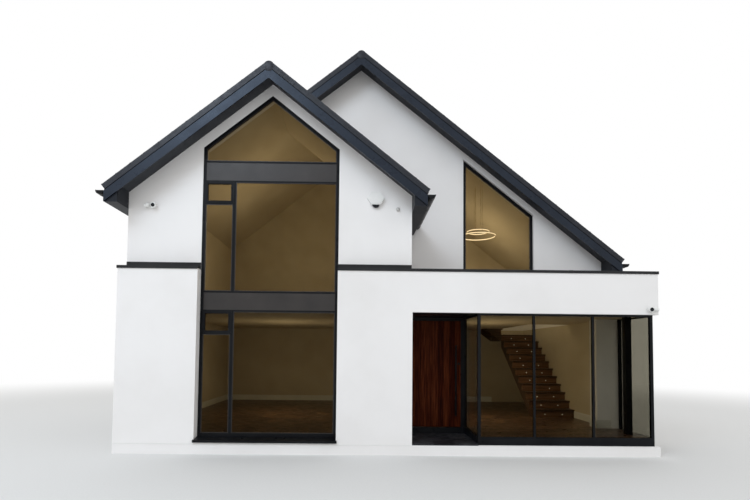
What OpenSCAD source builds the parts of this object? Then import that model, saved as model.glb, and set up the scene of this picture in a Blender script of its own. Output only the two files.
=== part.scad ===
// Detached two-storey house with a front gable wing, a taller main gable with a long
// right-hand slope, a flat-roofed glazed entrance and dark metal trims.
// Millimetres. X runs along the front, Y from front to back, Z up from the ground.
// The origin lies on the underside of the raft, in the middle of the footprint.

/* [Footprint] */
// Width of the ground floor
body_w = 10240; // [9800:20:10800]
// Depth of the ground floor
body_d = 7200; // [7000:20:7800]
// How far the ground-floor walls stand out past the upper walls at the sides and back
ledge_out = 80; // [60:5:110]
// How far the wing's upper wall lies behind the ground-floor front
front_setback = 200; // [160:10:230]
// Thickness of the outer walls
wall_t = 300; // [280:10:330]
// Depth of the entrance recess
porch_d = 1250; // [1150:10:1350]
// Thickness of the slate in the entrance recess
porch_tile_t = 30; // [20:1:40]

/* [Levels] */
// Height of the raft above the ground
raft_h = 190; // [150:10:220]
// Finished ground floor
floor_z = 345; // [335:5:380]
// Ceiling of the ground floor, and underside of the deep fascia
ceiling_z = 2680; // [2640:10:2740]
// Finished first floor
first_floor_z = 3075; // [3030:5:3120]
// Top of the ground-floor walls, under their metal coping
ledge_z = 3470; // [3400:10:3560]
// Thickness of the flat roof behind the fascia
flat_roof_t = 400; // [340:10:460]

/* [Roof] */
// Height of the roof's upper face where it crosses the left wall
eave_z = 5150; // [5080:10:5240]
// Slope of every roof face in degrees
pitch = 38.5; // [37.5:0.5:39.5]
// Width of the front gable wing
wing_w = 5480; // [5380:20:5580]
// Place of the main ridge across the house
main_ridge_x = -570; // [-680:10:-460]
// How far the main gable lies behind the wing's upper wall
main_setback = 1850; // [1750:10:1950]
// How far the roof runs out past a gable
verge_out = 500; // [440:10:540]
// How far the roof runs out past a side wall
eave_out = 240; // [200:10:280]
// Thickness of the roof boarding
roof_t = 120; // [100:5:140]
// Thickness of the tiling
tile_t = 25; // [20:1:32]
// Bedding gap where a wall, board or cap meets a roof slope, or a riser meets a tread
bed_gap = 0.2; // [0.2:0.1:0.4]
// Height of the barge boards
barge_h = 154; // [130:2:180]
// Thickness of the barge boards
barge_t = 25; // [20:1:32]
// Height of the metal strip above the barge boards
strip_h = 100; // [80:2:115]
// Thickness of that strip
strip_t = 35; // [32:1:42]
// Radius of the half-round ridge caps
ridge_r = 115; // [100:1:125]
// Thickness of those caps
cap_t = 10; // [8:1:15]
// Thickness of the eave boards
eave_board_t = 22; // [18:1:28]
// Outer radius of the half-round gutters
gutter_r = 75; // [65:1:85]
// Wall of a gutter
gutter_wall = 5; // [4:1:8]
// Outer radius of a downpipe
pipe_r = 34; // [30:1:36]
// Distance of a downpipe's centre from the side walls
pipe_off = 56; // [54:1:64]

/* [Metal copings] */
// Thickness of a coping
coping_t = 40; // [30:1:50]
// Open joint between two lengths of coping
coping_joint = 2; // [2:0.5:4]
// How far a coping runs out past the wall it covers
coping_out = 15; // [10:1:18]
// Height of the upstand where a ledge meets the wall above
upstand_h = 100; // [80:5:130]
// Thickness of that upstand
upstand_t = 8; // [6:1:12]

/* [Tall front window] */
// Width of the window
tall_w = 2640; // [2500:20:2760]
// Top of the wall under the window
tall_sill_z = 240; // [230:5:260]
// Height of the folded sill
sill_h = 60; // [45:1:80]
// Underside of the lower dark panel
panel_low_z = 2673; // [2600:1:2700]
// Height of the lower dark panel
panel_low_h = 393; // [360:1:420]
// Underside of the upper dark panel
panel_high_z = 5194; // [5140:1:5240]
// Height of the upper dark panel
panel_high_h = 413; // [380:1:440]
// Height at which the sloping heads start
shoulder_z = 5870; // [5800:10:5920]
// Distance from the window's left edge to the upright between its lights
upright_x = 610; // [560:5:680]
// Height of the small top-hung sashes, with their frames
sash_h = 410; // [360:5:460]
// Width of a frame member
frame_w = 58; // [50:1:66]
// Width of an upright or crossbar between two lights
bar_w = 54; // [46:1:62]
// Width of a sash's own frame
sash_w = 32; // [26:1:40]
// Depth of the window frames
frame_d = 70; // [60:1:80]
// Thickness of the double glazing
glass_t = 24; // [20:1:30]
// How far the frame lies behind the face of the upper wall
tall_in = 10; // [5:1:20]

/* [Sloping window of the main gable] */
// Width of the window
slope_win_w = 1635; // [1550:5:1700]
// Distance of its left edge from the wing's right wall
slope_win_x = 1393; // [1300:1:1480]
// Its sill height
slope_win_z = 3620; // [3590:5:3680]
// Drop of its sloping head under the roof's upper face
slope_win_drop = 355; // [330:5:380]
// How far the frame lies behind the face of the wall
reveal = 60; // [40:5:90]

/* [Glass room] */
// Width of the recess between the wing and the glass room
porch_w = 1250; // [1200:5:1300]
// How far the front glass lies behind the fascia
glass_in = 60; // [40:1:80]
// Width of a corner post
post_w = 55; // [48:1:66]
// Depth of the front frame
screen_d = 60; // [50:1:70]
// Width of a slim upright between two panes
slim_w = 40; // [32:1:48]
// Distance of the first slim upright from the left corner
slim_1 = 1076; // [1000:2:1150]
// Distance of the second slim upright from the left corner
slim_2 = 2205; // [2130:1:2280]
// Height of the top and bottom rails
rail_h = 40; // [34:1:48]
// Side of the square steel column
column_w = 120; // [100:5:140]
// Distance of the column's centre from the side wall's inner face
column_x = 45; // [30:5:60]
// Distance of the column's centre behind the fascia's back face
column_y = 200; // [160:10:240]
// Width of the pier beside the glass room
pier_w = 300; // [260:10:340]
// Depth of that pier
pier_d = 300; // [260:10:340]

/* [Front door] */
// Width of the door frame's members
door_frame_w = 60; // [54:1:70]
// Depth of the door frame
door_frame_d = 80; // [76:1:90]
// Width of the stops that the leaf closes against
stop_w = 16; // [14:1:20]
// Thickness of those stops
stop_t = 12; // [10:1:14]
// Gap round the leaf
door_gap = 8; // [7:0.5:10]
// Thickness of the leaf
leaf_t = 62; // [54:1:64]
// Clearance under the open leaf above the floor
sweep_gap = 6; // [5:0.5:10]
// Length of the bar handle
bar_l = 1500; // [1300:10:1600]
// Radius of the bar handle
bar_r = 17; // [14:0.5:20]
// Distance of the bar's axis from the leaf
bar_off = 60; // [50:1:75]
// Distance of the bar from the leaf's opening edge
bar_in = 122; // [110:1:150]
// Radius of the hinge pins
pin_r = 5; // [4:0.1:6]
// Running clearance round a hinge pin
pin_gap = 0.3; // [0.25:0.05:0.4]
// Outer radius of the hinge barrels
barrel_r = 11; // [10:0.5:12]
// Length of a hinge barrel
barrel_l = 110; // [90:5:130]
// Thickness of the hinge plates
plate_t = 4; // [3:0.5:5]
// Width of the hinge plates
plate_w = 46; // [36:1:50]

/* [Stair] */
// Width of the stair
stair_w = 1040; // [960:10:1080]
// Depth of a step
step_d = 270; // [255:5:280]
// Number of risers in the lower flight
lower_risers = 11; // [10:1:12]
// Number of risers in the upper flight
upper_risers = 3; // [2:1:4]
// Depth of the landing
landing_d = 1150; // [1100:10:1200]
// Thickness of the treads
tread_t = 45; // [38:1:52]
// Overhang of a tread's nosing
nosing = 25; // [18:1:30]
// Thickness of the risers
riser_t = 20; // [16:1:26]
// Thickness of the sawn boards that carry the steps
string_t = 40; // [32:1:50]
// Least depth of those boards under a step's inner corner
string_d = 110; // [90:5:140]
// Thickness of the landing
landing_t = 185; // [150:5:220]

/* [Other windows] */
// Width of the glazed garden opening in the back wall
garden_w = 2400; // [2200:20:2600]
// Left edge of that opening across the house
garden_x = -1000; // [-1100:10:-800]
// Height of its head above the floor
garden_h = 2150; // [2050:10:2250]
// Width of the plain windows
plain_w = 1000; // [900:10:1060]
// Height of the plain windows
plain_h = 1150; // [1050:10:1250]
// Sill of the plain windows above the floor of their storey
plain_sill = 900; // [820:10:980]
// Place along the house of the window in the left wall
side_win_y = -1750; // [-1850:10:-1550]
// Distance between the two upper back windows, of which the first is under the ridge
back_win_step = 2500; // [2300:10:2600]

/* [Ring lamp] */
// Radius of the large ring
ring_r = 420; // [390:5:450]
// Radius of the small ring
small_ring_r = 265; // [240:5:290]
// Height of the ring's section
ring_h = 34; // [28:1:40]
// Thickness of the ring's section
ring_t = 18; // [14:1:22]
// Radius of the rods that hold the rings
rod_r = 4; // [3:0.5:6]

/* [Small fittings] */
// Width of the alarm box
alarm_w = 330; // [300:5:360]
// Height of the alarm box
alarm_h = 250; // [230:5:280]
// Depth of the alarm box
alarm_d = 72; // [60:1:90]
// Radius of a small camera's base
cam_base_r = 45; // [38:1:52]
// Radius of a small camera's body
cam_r = 32; // [26:1:36]
// Length of a small camera's body
cam_l = 120; // [90:5:140]
// Side of the light sensor
sensor_w = 70; // [60:1:90]

/* [Hidden] */
$fn = 48;

render_white = "#e9eaea";
anthracite = "#2b2d30";
black_metal = "#1c1d1f";
roof_grey = "#3a3d40";
pane_blue = "#8fa3ad";
mahogany = "#4a1f14";
oak = "#7a5236";

// Plan places
half = body_w / 2;
upper_half = half - ledge_out;
inner_half = half - wall_t;
upper_inner = upper_half - wall_t;
front_y = -body_d / 2;
back_y = body_d / 2;
front_in = front_y + wall_t;
back_in = back_y - wall_t;
upper_front = front_y + front_setback;
upper_front_in = upper_front + wall_t;
upper_back = back_y - ledge_out;
upper_back_in = upper_back - wall_t;
main_front = upper_front + main_setback;
main_front_in = main_front + wall_t;
entry_y = front_y + porch_d;
entry_in = entry_y + door_frame_d;
wing_right = wing_w - upper_half;
wing_right_in = wing_right - wall_t;
wing_ridge_x = wing_w / 2 - upper_half;
wing_verge = upper_front - verge_out;
main_verge = main_front - verge_out;
back_verge = upper_back + verge_out;
eave_half = upper_half + eave_out;
wing_eave = wing_right + eave_out;

// Roof lines: each gives the height of the roof's upper face at x
rise = tan(pitch);
slant = cos(pitch);
wing_ridge_z = eave_z + (wing_ridge_x + upper_half) * rise;
main_ridge_z = eave_z + (main_ridge_x + upper_half) * rise;
function left_line(x) = eave_z + (x + upper_half) * rise;
function wing_line(x) = wing_ridge_z - (x - wing_ridge_x) * rise;
function right_line(x) = main_ridge_z - (x - main_ridge_x) * rise;
bed = tile_t / slant;
under = (tile_t + roof_t) / slant;
wall_top = under + bed_gap / slant;
barge_drop = (strip_h + barge_h) / slant;

// Openings
tall_left = wing_ridge_x - tall_w / 2;
tall_right = wing_ridge_x + tall_w / 2;
tall_y = upper_front + tall_in;
upright_mid = tall_left + upright_x;
frame_z = tall_sill_z + sill_h;
apex_z = shoulder_z + tall_w / 2 * rise;
slope_left = wing_right + slope_win_x;
slope_right = slope_left + slope_win_w;
function slope_head(x) = right_line(x) - slope_win_drop;
side_z = floor_z + plain_sill;
back_z = first_floor_z + plain_sill;
back_win_x = [for (i = [0, 1]) main_ridge_x + i * back_win_step - plain_w / 2];

// Glass room
room_left = wing_right + porch_w;
room_right = upper_half;
room_front = front_y + glass_in;
room_back = room_front + screen_d;
rail_z = floor_z - rail_h;

// Door
jamb_left = wing_right + door_frame_w;
jamb_right = room_left - door_frame_w;
head_z = ceiling_z - door_frame_w;
knuckle_gap = 1;
leaf_left = jamb_left + door_gap;
leaf_right = jamb_right - door_gap;
leaf_bottom = floor_z + sweep_gap;
leaf_top = head_z - door_gap;
threshold_top = leaf_bottom - door_gap;
leaf_in = entry_in;
leaf_out = leaf_in - leaf_t;
hinge_x = jamb_left + door_gap / 2;
hinge_y = leaf_in + plate_t + barrel_r + knuckle_gap;
hinge_in = 250;
hinge_heights = [leaf_bottom + hinge_in, (leaf_bottom + leaf_top) / 2, leaf_top - hinge_in];

// Stair
risers = lower_risers + upper_risers;
riser_h = (first_floor_z - floor_z) / risers;
landing_z = floor_z + lower_risers * riser_h;
stair_right = inner_half;
stair_left = stair_right - stair_w;
landing_y = back_in - landing_d;
flight_y = landing_y - (lower_risers - 1) * step_d;
flight_x = stair_left - (upper_risers - 1) * step_d;
well_y = flight_y + step_d;

// A box from its lowest to its highest corner
module block(x0, x1, y0, y1, z0, z1) {
    translate([x0, y0, z0]) cube([x1 - x0, y1 - y0, z1 - z0]);
}

// A drawing of the front, X across and Z up, given depth from y0 back to y1
module upright(y0, y1) {
    translate([0, y1, 0]) rotate([90, 0, 0]) linear_extrude(y1 - y0) children();
}

// A drawing of a side, Y across and Z up, given width from x0 to x1
module crossways(x0, x1) {
    translate([x0, 0, 0]) rotate([90, 0, 90]) linear_extrude(x1 - x0) children();
}

module rect(x0, x1, z0, z1) {
    translate([x0, z0]) square([x1 - x0, z1 - z0]);
}

// A band that follows a roof line from (xa, za) to (xb, zb), between two depths
// measured square to the roof
module band(xa, za, xb, zb, top, bottom) {
    polygon([[xa, za - top / slant], [xb, zb - top / slant],
             [xb, zb - bottom / slant], [xa, za - bottom / slant]]);
}

// Everything in the front view that lies under the wing's right slope
module under_wing_slope() {
    polygon([[wing_ridge_x - eave_half, wing_line(wing_ridge_x - eave_half)],
             [eave_half, wing_line(eave_half)], [eave_half, 0],
             [wing_ridge_x - eave_half, 0]]);
}

module raft() {
    color(render_white) block(-half, half, front_y, back_y, 0, raft_h);
}

module ground_floor() {
    color(oak) {
        block(-inner_half, wing_right_in, front_in, back_in, raft_h, floor_z);
        block(wing_right_in, room_left + post_w, entry_in, back_in, raft_h, floor_z);
        block(room_left + post_w, inner_half, entry_y, back_in, raft_h, floor_z);
        block(room_left + post_w, room_right - post_w, room_back, entry_y, raft_h, floor_z);
    }
}

module lower_front_wall() {
    color(render_white) {
        block(-half, tall_left, front_y, front_in, raft_h, ledge_z);
        block(tall_right, wing_right, front_y, front_in, raft_h, ledge_z);
        block(tall_left, tall_right, front_y, front_in, raft_h, tall_sill_z);
    }
}

module fascia() {
    color(render_white) {
        block(wing_right, half, front_y, front_in, ceiling_z, ledge_z);
        block(inner_half, half, front_in, entry_y, ceiling_z, ledge_z);
    }
}

module lower_left_wall() {
    color(render_white) crossways(-half, -inner_half) difference() {
        rect(front_in, back_in, raft_h, ledge_z);
        window_gap(side_win_y, side_z);
    }
}

module lower_right_wall() {
    color(render_white) block(inner_half, half, entry_y, back_in, raft_h, ledge_z);
}

module lower_back_wall() {
    color(render_white) upright(back_in, back_y) difference() {
        rect(-half, half, raft_h, ledge_z);
        rect(garden_x, garden_x + garden_w, floor_z, floor_z + garden_h);
    }
}

module porch_side_wall() {
    color(render_white)
        block(wing_right_in, wing_right, front_in, entry_in, raft_h, ceiling_z);
}

module entrance_pier() {
    color(render_white)
        block(inner_half - pier_w, inner_half, entry_y, entry_y + pier_d,
              floor_z, ceiling_z);
}

// The first floor, with a well over the stair
module first_floor() {
    color(oak) difference() {
        union() {
            block(-inner_half, wing_right, front_in, back_in, ceiling_z, first_floor_z);
            block(wing_right, inner_half, main_front, back_in, ceiling_z, first_floor_z);
        }
        block(stair_left, inner_half, well_y, back_in, ceiling_z, first_floor_z);
        block(flight_x, stair_left, landing_y, back_in, ceiling_z, first_floor_z);
    }
}

module flat_roof() {
    color(roof_grey)
        block(wing_right, inner_half, front_in, main_front, ceiling_z,
              ceiling_z + flat_roof_t);
}

// The wing's gable stands on the ground-floor wall and on the first floor behind it
module wing_gable_wall() {
    color(render_white) {
        upright(upper_front, upper_front_in) difference() {
            polygon([[-upper_half, ledge_z], [wing_right, ledge_z],
                     [wing_right, wing_line(wing_right) - wall_top],
                     [wing_ridge_x, wing_ridge_z - wall_top],
                     [-upper_half, left_line(-upper_half) - wall_top]]);
            tall_outline();
        }
        block(-inner_half, tall_left, front_in, upper_front_in, first_floor_z, ledge_z);
        block(tall_right, wing_right, front_in, upper_front_in, first_floor_z, ledge_z);
    }
}

// A side wall of the upper storey, with its foot stepped over the ledge
module upper_left_wall() {
    color(render_white) upright(upper_front_in, upper_back_in)
        polygon([[-upper_half, ledge_z], [-inner_half, ledge_z],
                 [-inner_half, first_floor_z], [-upper_inner, first_floor_z],
                 [-upper_inner, left_line(-upper_inner) - wall_top],
                 [-upper_half, left_line(-upper_half) - wall_top]]);
}

module wing_right_wall() {
    color(render_white) upright(upper_front_in, main_front_in)
        polygon([[wing_right_in, first_floor_z], [wing_right, first_floor_z],
                 [wing_right, wing_line(wing_right) - wall_top],
                 [wing_right_in, wing_line(wing_right_in) - wall_top]]);
}

// The main gable rises over the wing's roof on its left
meet_x = wing_ridge_x + (wall_top - bed + bed_gap) / (2 * rise);
module main_gable_wall() {
    color(render_white) upright(main_front, main_front_in) difference() {
        polygon([[wing_right, first_floor_z], [inner_half, first_floor_z],
                 [inner_half, ledge_z], [upper_half, ledge_z],
                 [upper_half, right_line(upper_half) - wall_top],
                 [main_ridge_x, main_ridge_z - wall_top],
                 [meet_x, left_line(meet_x) - wall_top],
                 [wing_right, wing_line(wing_right) - bed + bed_gap]]);
        slope_outline();
    }
}

module upper_right_wall() {
    color(render_white) upright(main_front_in, upper_back_in)
        polygon([[upper_half, ledge_z], [inner_half, ledge_z],
                 [inner_half, first_floor_z], [upper_inner, first_floor_z],
                 [upper_inner, right_line(upper_inner) - wall_top],
                 [upper_half, right_line(upper_half) - wall_top]]);
}

module back_gable_wall() {
    color(render_white) {
        upright(upper_back_in, upper_back) difference() {
            polygon([[-upper_half, ledge_z], [upper_half, ledge_z],
                     [upper_half, right_line(upper_half) - wall_top],
                     [main_ridge_x, main_ridge_z - wall_top],
                     [-upper_half, left_line(-upper_half) - wall_top]]);
            for (x = back_win_x) window_gap(x, back_z);
        }
        block(-inner_half, inner_half, upper_back_in, back_in, first_floor_z, ledge_z);
    }
}

slab_end = eave_out - eave_board_t - bed_gap;

// One continuous slope, from the left eave to the wing's ridge in front and to the
// main ridge behind
module left_roof_slope() {
    edge = -upper_half - slab_end;
    color(roof_grey) {
        upright(wing_verge + barge_t, back_verge - barge_t)
            band(edge, left_line(edge), wing_ridge_x, wing_ridge_z, tile_t, tile_t + roof_t);
        upright(main_verge + barge_t, back_verge - barge_t)
            band(wing_ridge_x, wing_ridge_z, main_ridge_x, main_ridge_z,
                 tile_t, tile_t + roof_t);
    }
}

// The wing's slope runs in under the main roof as far as the main gable wall's back
module wing_right_slope() {
    edge = wing_right + slab_end;
    under_verge = main_verge + barge_t - bed_gap;
    color(roof_grey) {
        upright(wing_verge + barge_t, under_verge)
            band(wing_ridge_x, wing_ridge_z, edge, wing_line(edge), tile_t, tile_t + roof_t);
        upright(under_verge, main_front)
            band(meet_x, wing_line(meet_x), edge, wing_line(edge), tile_t, tile_t + roof_t);
        upright(main_front, main_front_in)
            band(meet_x, wing_line(meet_x), wing_right, wing_line(wing_right),
                 tile_t, tile_t + roof_t);
    }
}

module main_right_slope() {
    edge = upper_half + slab_end;
    color(roof_grey) upright(main_verge + barge_t, back_verge - barge_t)
        band(main_ridge_x, main_ridge_z, edge, right_line(edge), tile_t, tile_t + roof_t);
}

// A chevron along both slopes of a gable, from one eave to the other
module chevron(left, ridge, right, ridge_z, top, bottom) {
    band(left, ridge_z - (ridge - left) * rise, ridge, ridge_z, top, bottom);
    band(ridge, ridge_z, right, ridge_z - (right - ridge) * rise, top, bottom);
}

module wing_chevron(top, bottom) {
    chevron(-eave_half, wing_ridge_x, wing_eave, wing_ridge_z, top, bottom);
}

module main_chevron(top, bottom) {
    chevron(-eave_half, main_ridge_x, eave_half, main_ridge_z, top, bottom);
}

module front_main_chevron(top, bottom) {
    difference() {
        main_chevron(top, bottom);
        under_wing_slope();
    }
}

module barge_boards() {
    color(anthracite) {
        upright(wing_verge, wing_verge + barge_t)
            wing_chevron(strip_h, strip_h + barge_h);
        upright(main_verge, main_verge + barge_t)
            front_main_chevron(strip_h, strip_h + barge_h);
        upright(back_verge - barge_t, back_verge)
            main_chevron(strip_h, strip_h + barge_h);
    }
}

strip_out = strip_t - barge_t;
module verge_strips() {
    color(black_metal) {
        upright(wing_verge - strip_out, wing_verge + barge_t) wing_chevron(0, strip_h);
        upright(main_verge - strip_out, main_verge + barge_t) front_main_chevron(0, strip_h);
        upright(back_verge - barge_t, back_verge + strip_out) main_chevron(0, strip_h);
    }
}

// A half-round cap seated on the boarding or strips of both slopes
module cap_section(ridge, ridge_z) {
    difference() {
        translate([ridge, ridge_z - ridge_r]) difference() {
            circle(ridge_r);
            circle(ridge_r - cap_t);
        }
        chevron(ridge - 2 * ridge_r, ridge, ridge + 2 * ridge_r, ridge_z,
                tile_t - bed_gap, 4 * ridge_r);
    }
}

module ridge_caps() {
    color(black_metal) {
        upright(wing_verge + barge_t, main_verge - strip_out)
            cap_section(wing_ridge_x, wing_ridge_z);
        upright(main_verge + barge_t, back_verge - barge_t)
            cap_section(main_ridge_x, main_ridge_z);
    }
}

// The board and soffit along an eave, with side = -1 at the left and 1 at the right
module eave_section(wall_x, side, line_z) {
    outer = wall_x + side * eave_out;
    inner = outer - side * eave_board_t;
    foot = line_z - eave_out * rise - barge_drop;
    drop_in = line_z - (eave_out - eave_board_t) * rise;
    polygon([[outer, foot], [outer, line_z - eave_out * rise - bed],
             [inner, drop_in - bed], [inner, foot + eave_board_t],
             [wall_x, foot + eave_board_t], [wall_x, foot]]);
}

// The board that closes the box of an eave under a verge
module box_end(wall_x, side, line_z) {
    foot = line_z - eave_out * rise - barge_drop;
    inner = wall_x + side * eave_board_t;
    polygon([[wall_x, foot + eave_board_t], [inner, foot + eave_board_t],
             [inner, line_z - eave_board_t * rise - wall_top], [wall_x, line_z - wall_top]]);
}

module eave_boards() {
    wing_z = wing_line(wing_right);
    right_z = right_line(upper_half);
    color(anthracite) {
        upright(wing_verge + barge_t, back_verge - barge_t)
            eave_section(-upper_half, -1, eave_z);
        upright(wing_verge + barge_t, upper_front) box_end(-upper_half, -1, eave_z);
        upright(upper_back, back_verge - barge_t) box_end(-upper_half, -1, eave_z);
        upright(wing_verge + barge_t, main_front) eave_section(wing_right, 1, wing_z);
        upright(wing_verge + barge_t, upper_front) box_end(wing_right, 1, wing_z);
        upright(main_verge + barge_t, back_verge - barge_t)
            eave_section(upper_half, 1, right_z);
        upright(main_verge + barge_t, main_front) box_end(upper_half, 1, right_z);
        upright(upper_back, back_verge - barge_t) box_end(upper_half, 1, right_z);
    }
}

// How far the rim of a gutter lies under the roof's upper face at the eave board
gutter_drop = 120;
module gutter(board_x, side, line_z, y0, y1) {
    rim = line_z - gutter_drop;
    translate([board_x + side * gutter_r, y1, rim]) rotate([90, 0, 0]) difference() {
        cylinder(r = gutter_r, h = y1 - y0);
        translate([0, 0, gutter_wall])
            cylinder(r = gutter_r - gutter_wall, h = y1 - y0 - 2 * gutter_wall);
        translate([-gutter_r - 1, 0, -1])
            cube([2 * gutter_r + 2, gutter_r + 1, y1 - y0 + 2]);
    }
}

module gutters() {
    color(black_metal) {
        gutter(-eave_half, -1, left_line(-eave_half), wing_verge, back_verge);
        gutter(wing_eave, 1, wing_line(wing_eave), wing_verge, main_front);
        gutter(eave_half, 1, right_line(eave_half), main_verge, back_verge);
    }
}

// A downpipe: its straight top, its place, the thicker sockets at its bends, its foot
// above the ground and its clips
socket_t = 5;
spout_l = 130;
pipe_y = back_in - 2 * gutter_r;
pipe_foot = 70;
clip_l = 30;
clip_out = 6;
clip_in = 350;
clip_heights = [pipe_foot + clip_in, ledge_z / 2, ledge_z - clip_in];

// A downpipe from a gutter to the ground, with a sloping piece back to the wall
module downpipe(side, line_z) {
    top = line_z - gutter_drop - gutter_r;
    out_x = side * (eave_half + gutter_r);
    wall_x = side * (half + pipe_off);
    shift = abs(out_x - wall_x);
    turn_z = top - spout_l;
    translate([out_x, pipe_y, turn_z]) cylinder(r = pipe_r, h = spout_l);
    for (end = [[out_x, turn_z], [wall_x, turn_z - shift]])
        translate([end[0], pipe_y, end[1]]) sphere(pipe_r + socket_t);
    translate([out_x, pipe_y, turn_z]) rotate([0, 180 + side * 45, 0])
        cylinder(r = pipe_r, h = shift * sqrt(2));
    translate([wall_x, pipe_y, pipe_foot]) cylinder(r = pipe_r, h = turn_z - shift - pipe_foot);
    for (z = clip_heights)
        block(min(wall_x, side * half), max(wall_x, side * half), pipe_y - pipe_r - clip_out,
              pipe_y + pipe_r + clip_out, z, z + clip_l);
}

module downpipes() {
    color(black_metal) {
        downpipe(-1, left_line(-eave_half));
        downpipe(1, right_line(eave_half));
    }
}

// Metal copings on the parapet and on the ledge that runs round the house, in straight
// lengths, with an upstand where the wall above stands back
module coping_run(x0, x1, y0, y1) {
    block(x0, x1, y0, y1, ledge_z, ledge_z + coping_t);
}

module upstand(x0, x1, y0, y1) {
    block(x0, x1, y0, y1, ledge_z + coping_t, ledge_z + coping_t + upstand_h);
}

module ledge_coping() {
    edge = half + coping_out;
    front_edge = front_y - coping_out;
    back_edge = back_y + coping_out;
    left_start = upper_front + coping_joint;
    right_start = main_front + coping_joint;
    side_end = upper_back - coping_joint;
    parapet_back = front_in + coping_out;
    color(black_metal) {
        coping_run(-edge, tall_left, front_edge, upper_front);
        upstand(-upper_half, tall_left, upper_front - upstand_t, upper_front);
        coping_run(tall_right, wing_right - coping_joint, front_edge, upper_front);
        upstand(tall_right, wing_right - coping_joint, upper_front - upstand_t, upper_front);
        coping_run(-edge, -upper_half, left_start, side_end);
        upstand(-upper_half - upstand_t, -upper_half, left_start, side_end);
        coping_run(-edge, edge, upper_back, back_edge);
        upstand(-upper_half, upper_half, upper_back, upper_back + upstand_t);
        coping_run(upper_half, edge, right_start, side_end);
        upstand(upper_half, upper_half + upstand_t, right_start, side_end);
        coping_run(wing_right, edge, front_edge, parapet_back);
        coping_run(inner_half - coping_out, edge, parapet_back + coping_joint, main_front);
    }
}

// The outline of the tall window, from its sill to its point
module tall_outline() {
    polygon([[tall_left, frame_z - sill_h], [tall_right, frame_z - sill_h],
             [tall_right, shoulder_z], [wing_ridge_x, apex_z], [tall_left, shoulder_z]]);
}

// The dark panels sit inside the frame, a little behind its faces, with a rail of the
// frame above and below each
rail_w = 30;
panel_in = 6;
panel_low_top = panel_low_z + panel_low_h;
panel_high_top = panel_high_z + panel_high_h;
light_left = tall_left + frame_w;
light_right = tall_right - frame_w;

// The glazed parts of one storey of the tall window, from z0 up to z1
module storey_lights(z0, z1) {
    bar_left = upright_mid - bar_w / 2;
    bar_z = z1 - sash_h;
    rect(upright_mid + bar_w / 2, light_right, z0, z1);
    rect(light_left, bar_left, z0, bar_z - bar_w / 2);
    rect(light_left + sash_w, bar_left - sash_w, bar_z + sash_w, z1 - sash_w);
}

module gable_light() {
    head = frame_w / slant;
    edge_z = shoulder_z + frame_w * rise - head;
    polygon([[light_left, panel_high_top], [light_right, panel_high_top],
             [light_right, edge_z], [wing_ridge_x, apex_z - head], [light_left, edge_z]]);
}

module tall_lights() {
    storey_lights(frame_z + frame_w, panel_low_z);
    storey_lights(panel_low_top, panel_high_z);
    gable_light();
}

module panel_shapes() {
    rect(light_left, light_right, panel_low_z, panel_low_top);
    rect(light_left, light_right, panel_high_z, panel_high_top);
}

module tall_window_frame() {
    color(black_metal) upright(tall_y, tall_y + frame_d) difference() {
        polygon([[tall_left, frame_z], [tall_right, frame_z], [tall_right, shoulder_z],
                 [wing_ridge_x, apex_z], [tall_left, shoulder_z]]);
        tall_lights();
        rect(light_left, light_right, panel_low_z + rail_w, panel_low_top - rail_w);
        rect(light_left, light_right, panel_high_z + rail_w, panel_high_top - rail_w);
    }
}

module dark_panels() {
    color(anthracite) upright(tall_y + panel_in, tall_y + frame_d - panel_in) {
        rect(light_left, light_right, panel_low_z + rail_w, panel_low_top - rail_w);
        rect(light_left, light_right, panel_high_z + rail_w, panel_high_top - rail_w);
    }
}

// The folded sill falls from the frame to a drip in front of the wall
sill_out = 40;
sill_drip = 22;
sill_end = 15;
module window_sill() {
    nose_z = tall_sill_z + sill_drip;
    front_z = nose_z + (frame_z - nose_z) * sill_out / (tall_y - front_y + sill_out);
    color(black_metal) {
        crossways(tall_left, tall_right)
            polygon([[front_y, tall_sill_z], [tall_y + frame_d, tall_sill_z],
                     [tall_y + frame_d, frame_z], [tall_y, frame_z], [front_y, front_z]]);
        crossways(tall_left - sill_end, tall_right + sill_end)
            polygon([[front_y, front_z], [front_y - sill_out, nose_z],
                     [front_y - sill_out, tall_sill_z - sill_drip],
                     [front_y, tall_sill_z - sill_drip]]);
    }
}

module slope_outline() {
    polygon([[slope_left, slope_win_z], [slope_right, slope_win_z],
             [slope_right, slope_head(slope_right)], [slope_left, slope_head(slope_left)]]);
}

module slope_light() {
    left = slope_left + frame_w;
    right = slope_right - frame_w;
    head = frame_w / slant;
    polygon([[left, slope_win_z + frame_w], [right, slope_win_z + frame_w],
             [right, slope_head(right) - head], [left, slope_head(left) - head]]);
}

module sloping_window_frame() {
    color(black_metal) upright(main_front + reveal, main_front + reveal + frame_d)
        difference() {
            slope_outline();
            slope_light();
        }
}

// The three front panes of the glass room, between posts and slim uprights
module front_panes() {
    z1 = ceiling_z - rail_h;
    rect(room_left + post_w, room_left + slim_1 - slim_w / 2, floor_z, z1);
    rect(room_left + slim_1 + slim_w / 2, room_left + slim_2 - slim_w / 2, floor_z, z1);
    rect(room_left + slim_2 + slim_w / 2, room_right - post_w, floor_z, z1);
}

module glass_room_front() {
    color(black_metal) upright(room_front, room_back) difference() {
        rect(room_left, room_right, rail_z, ceiling_z);
        front_panes();
    }
}

// One pane along each side, from the front frame back to a post at y1
module side_pane(y1) {
    rect(room_back, y1 - post_w, floor_z, ceiling_z - rail_h);
}

module side_frame(x0, x1, y1) {
    crossways(x0, x1) difference() {
        rect(room_back, y1, rail_z, ceiling_z);
        side_pane(y1);
    }
}

// The left side runs back beside the door frame, the right one to the end of the wall
module glass_room_sides() {
    color(black_metal) {
        side_frame(room_left, room_left + post_w, entry_in);
        side_frame(room_right - post_w, room_right, entry_y);
    }
}

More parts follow.
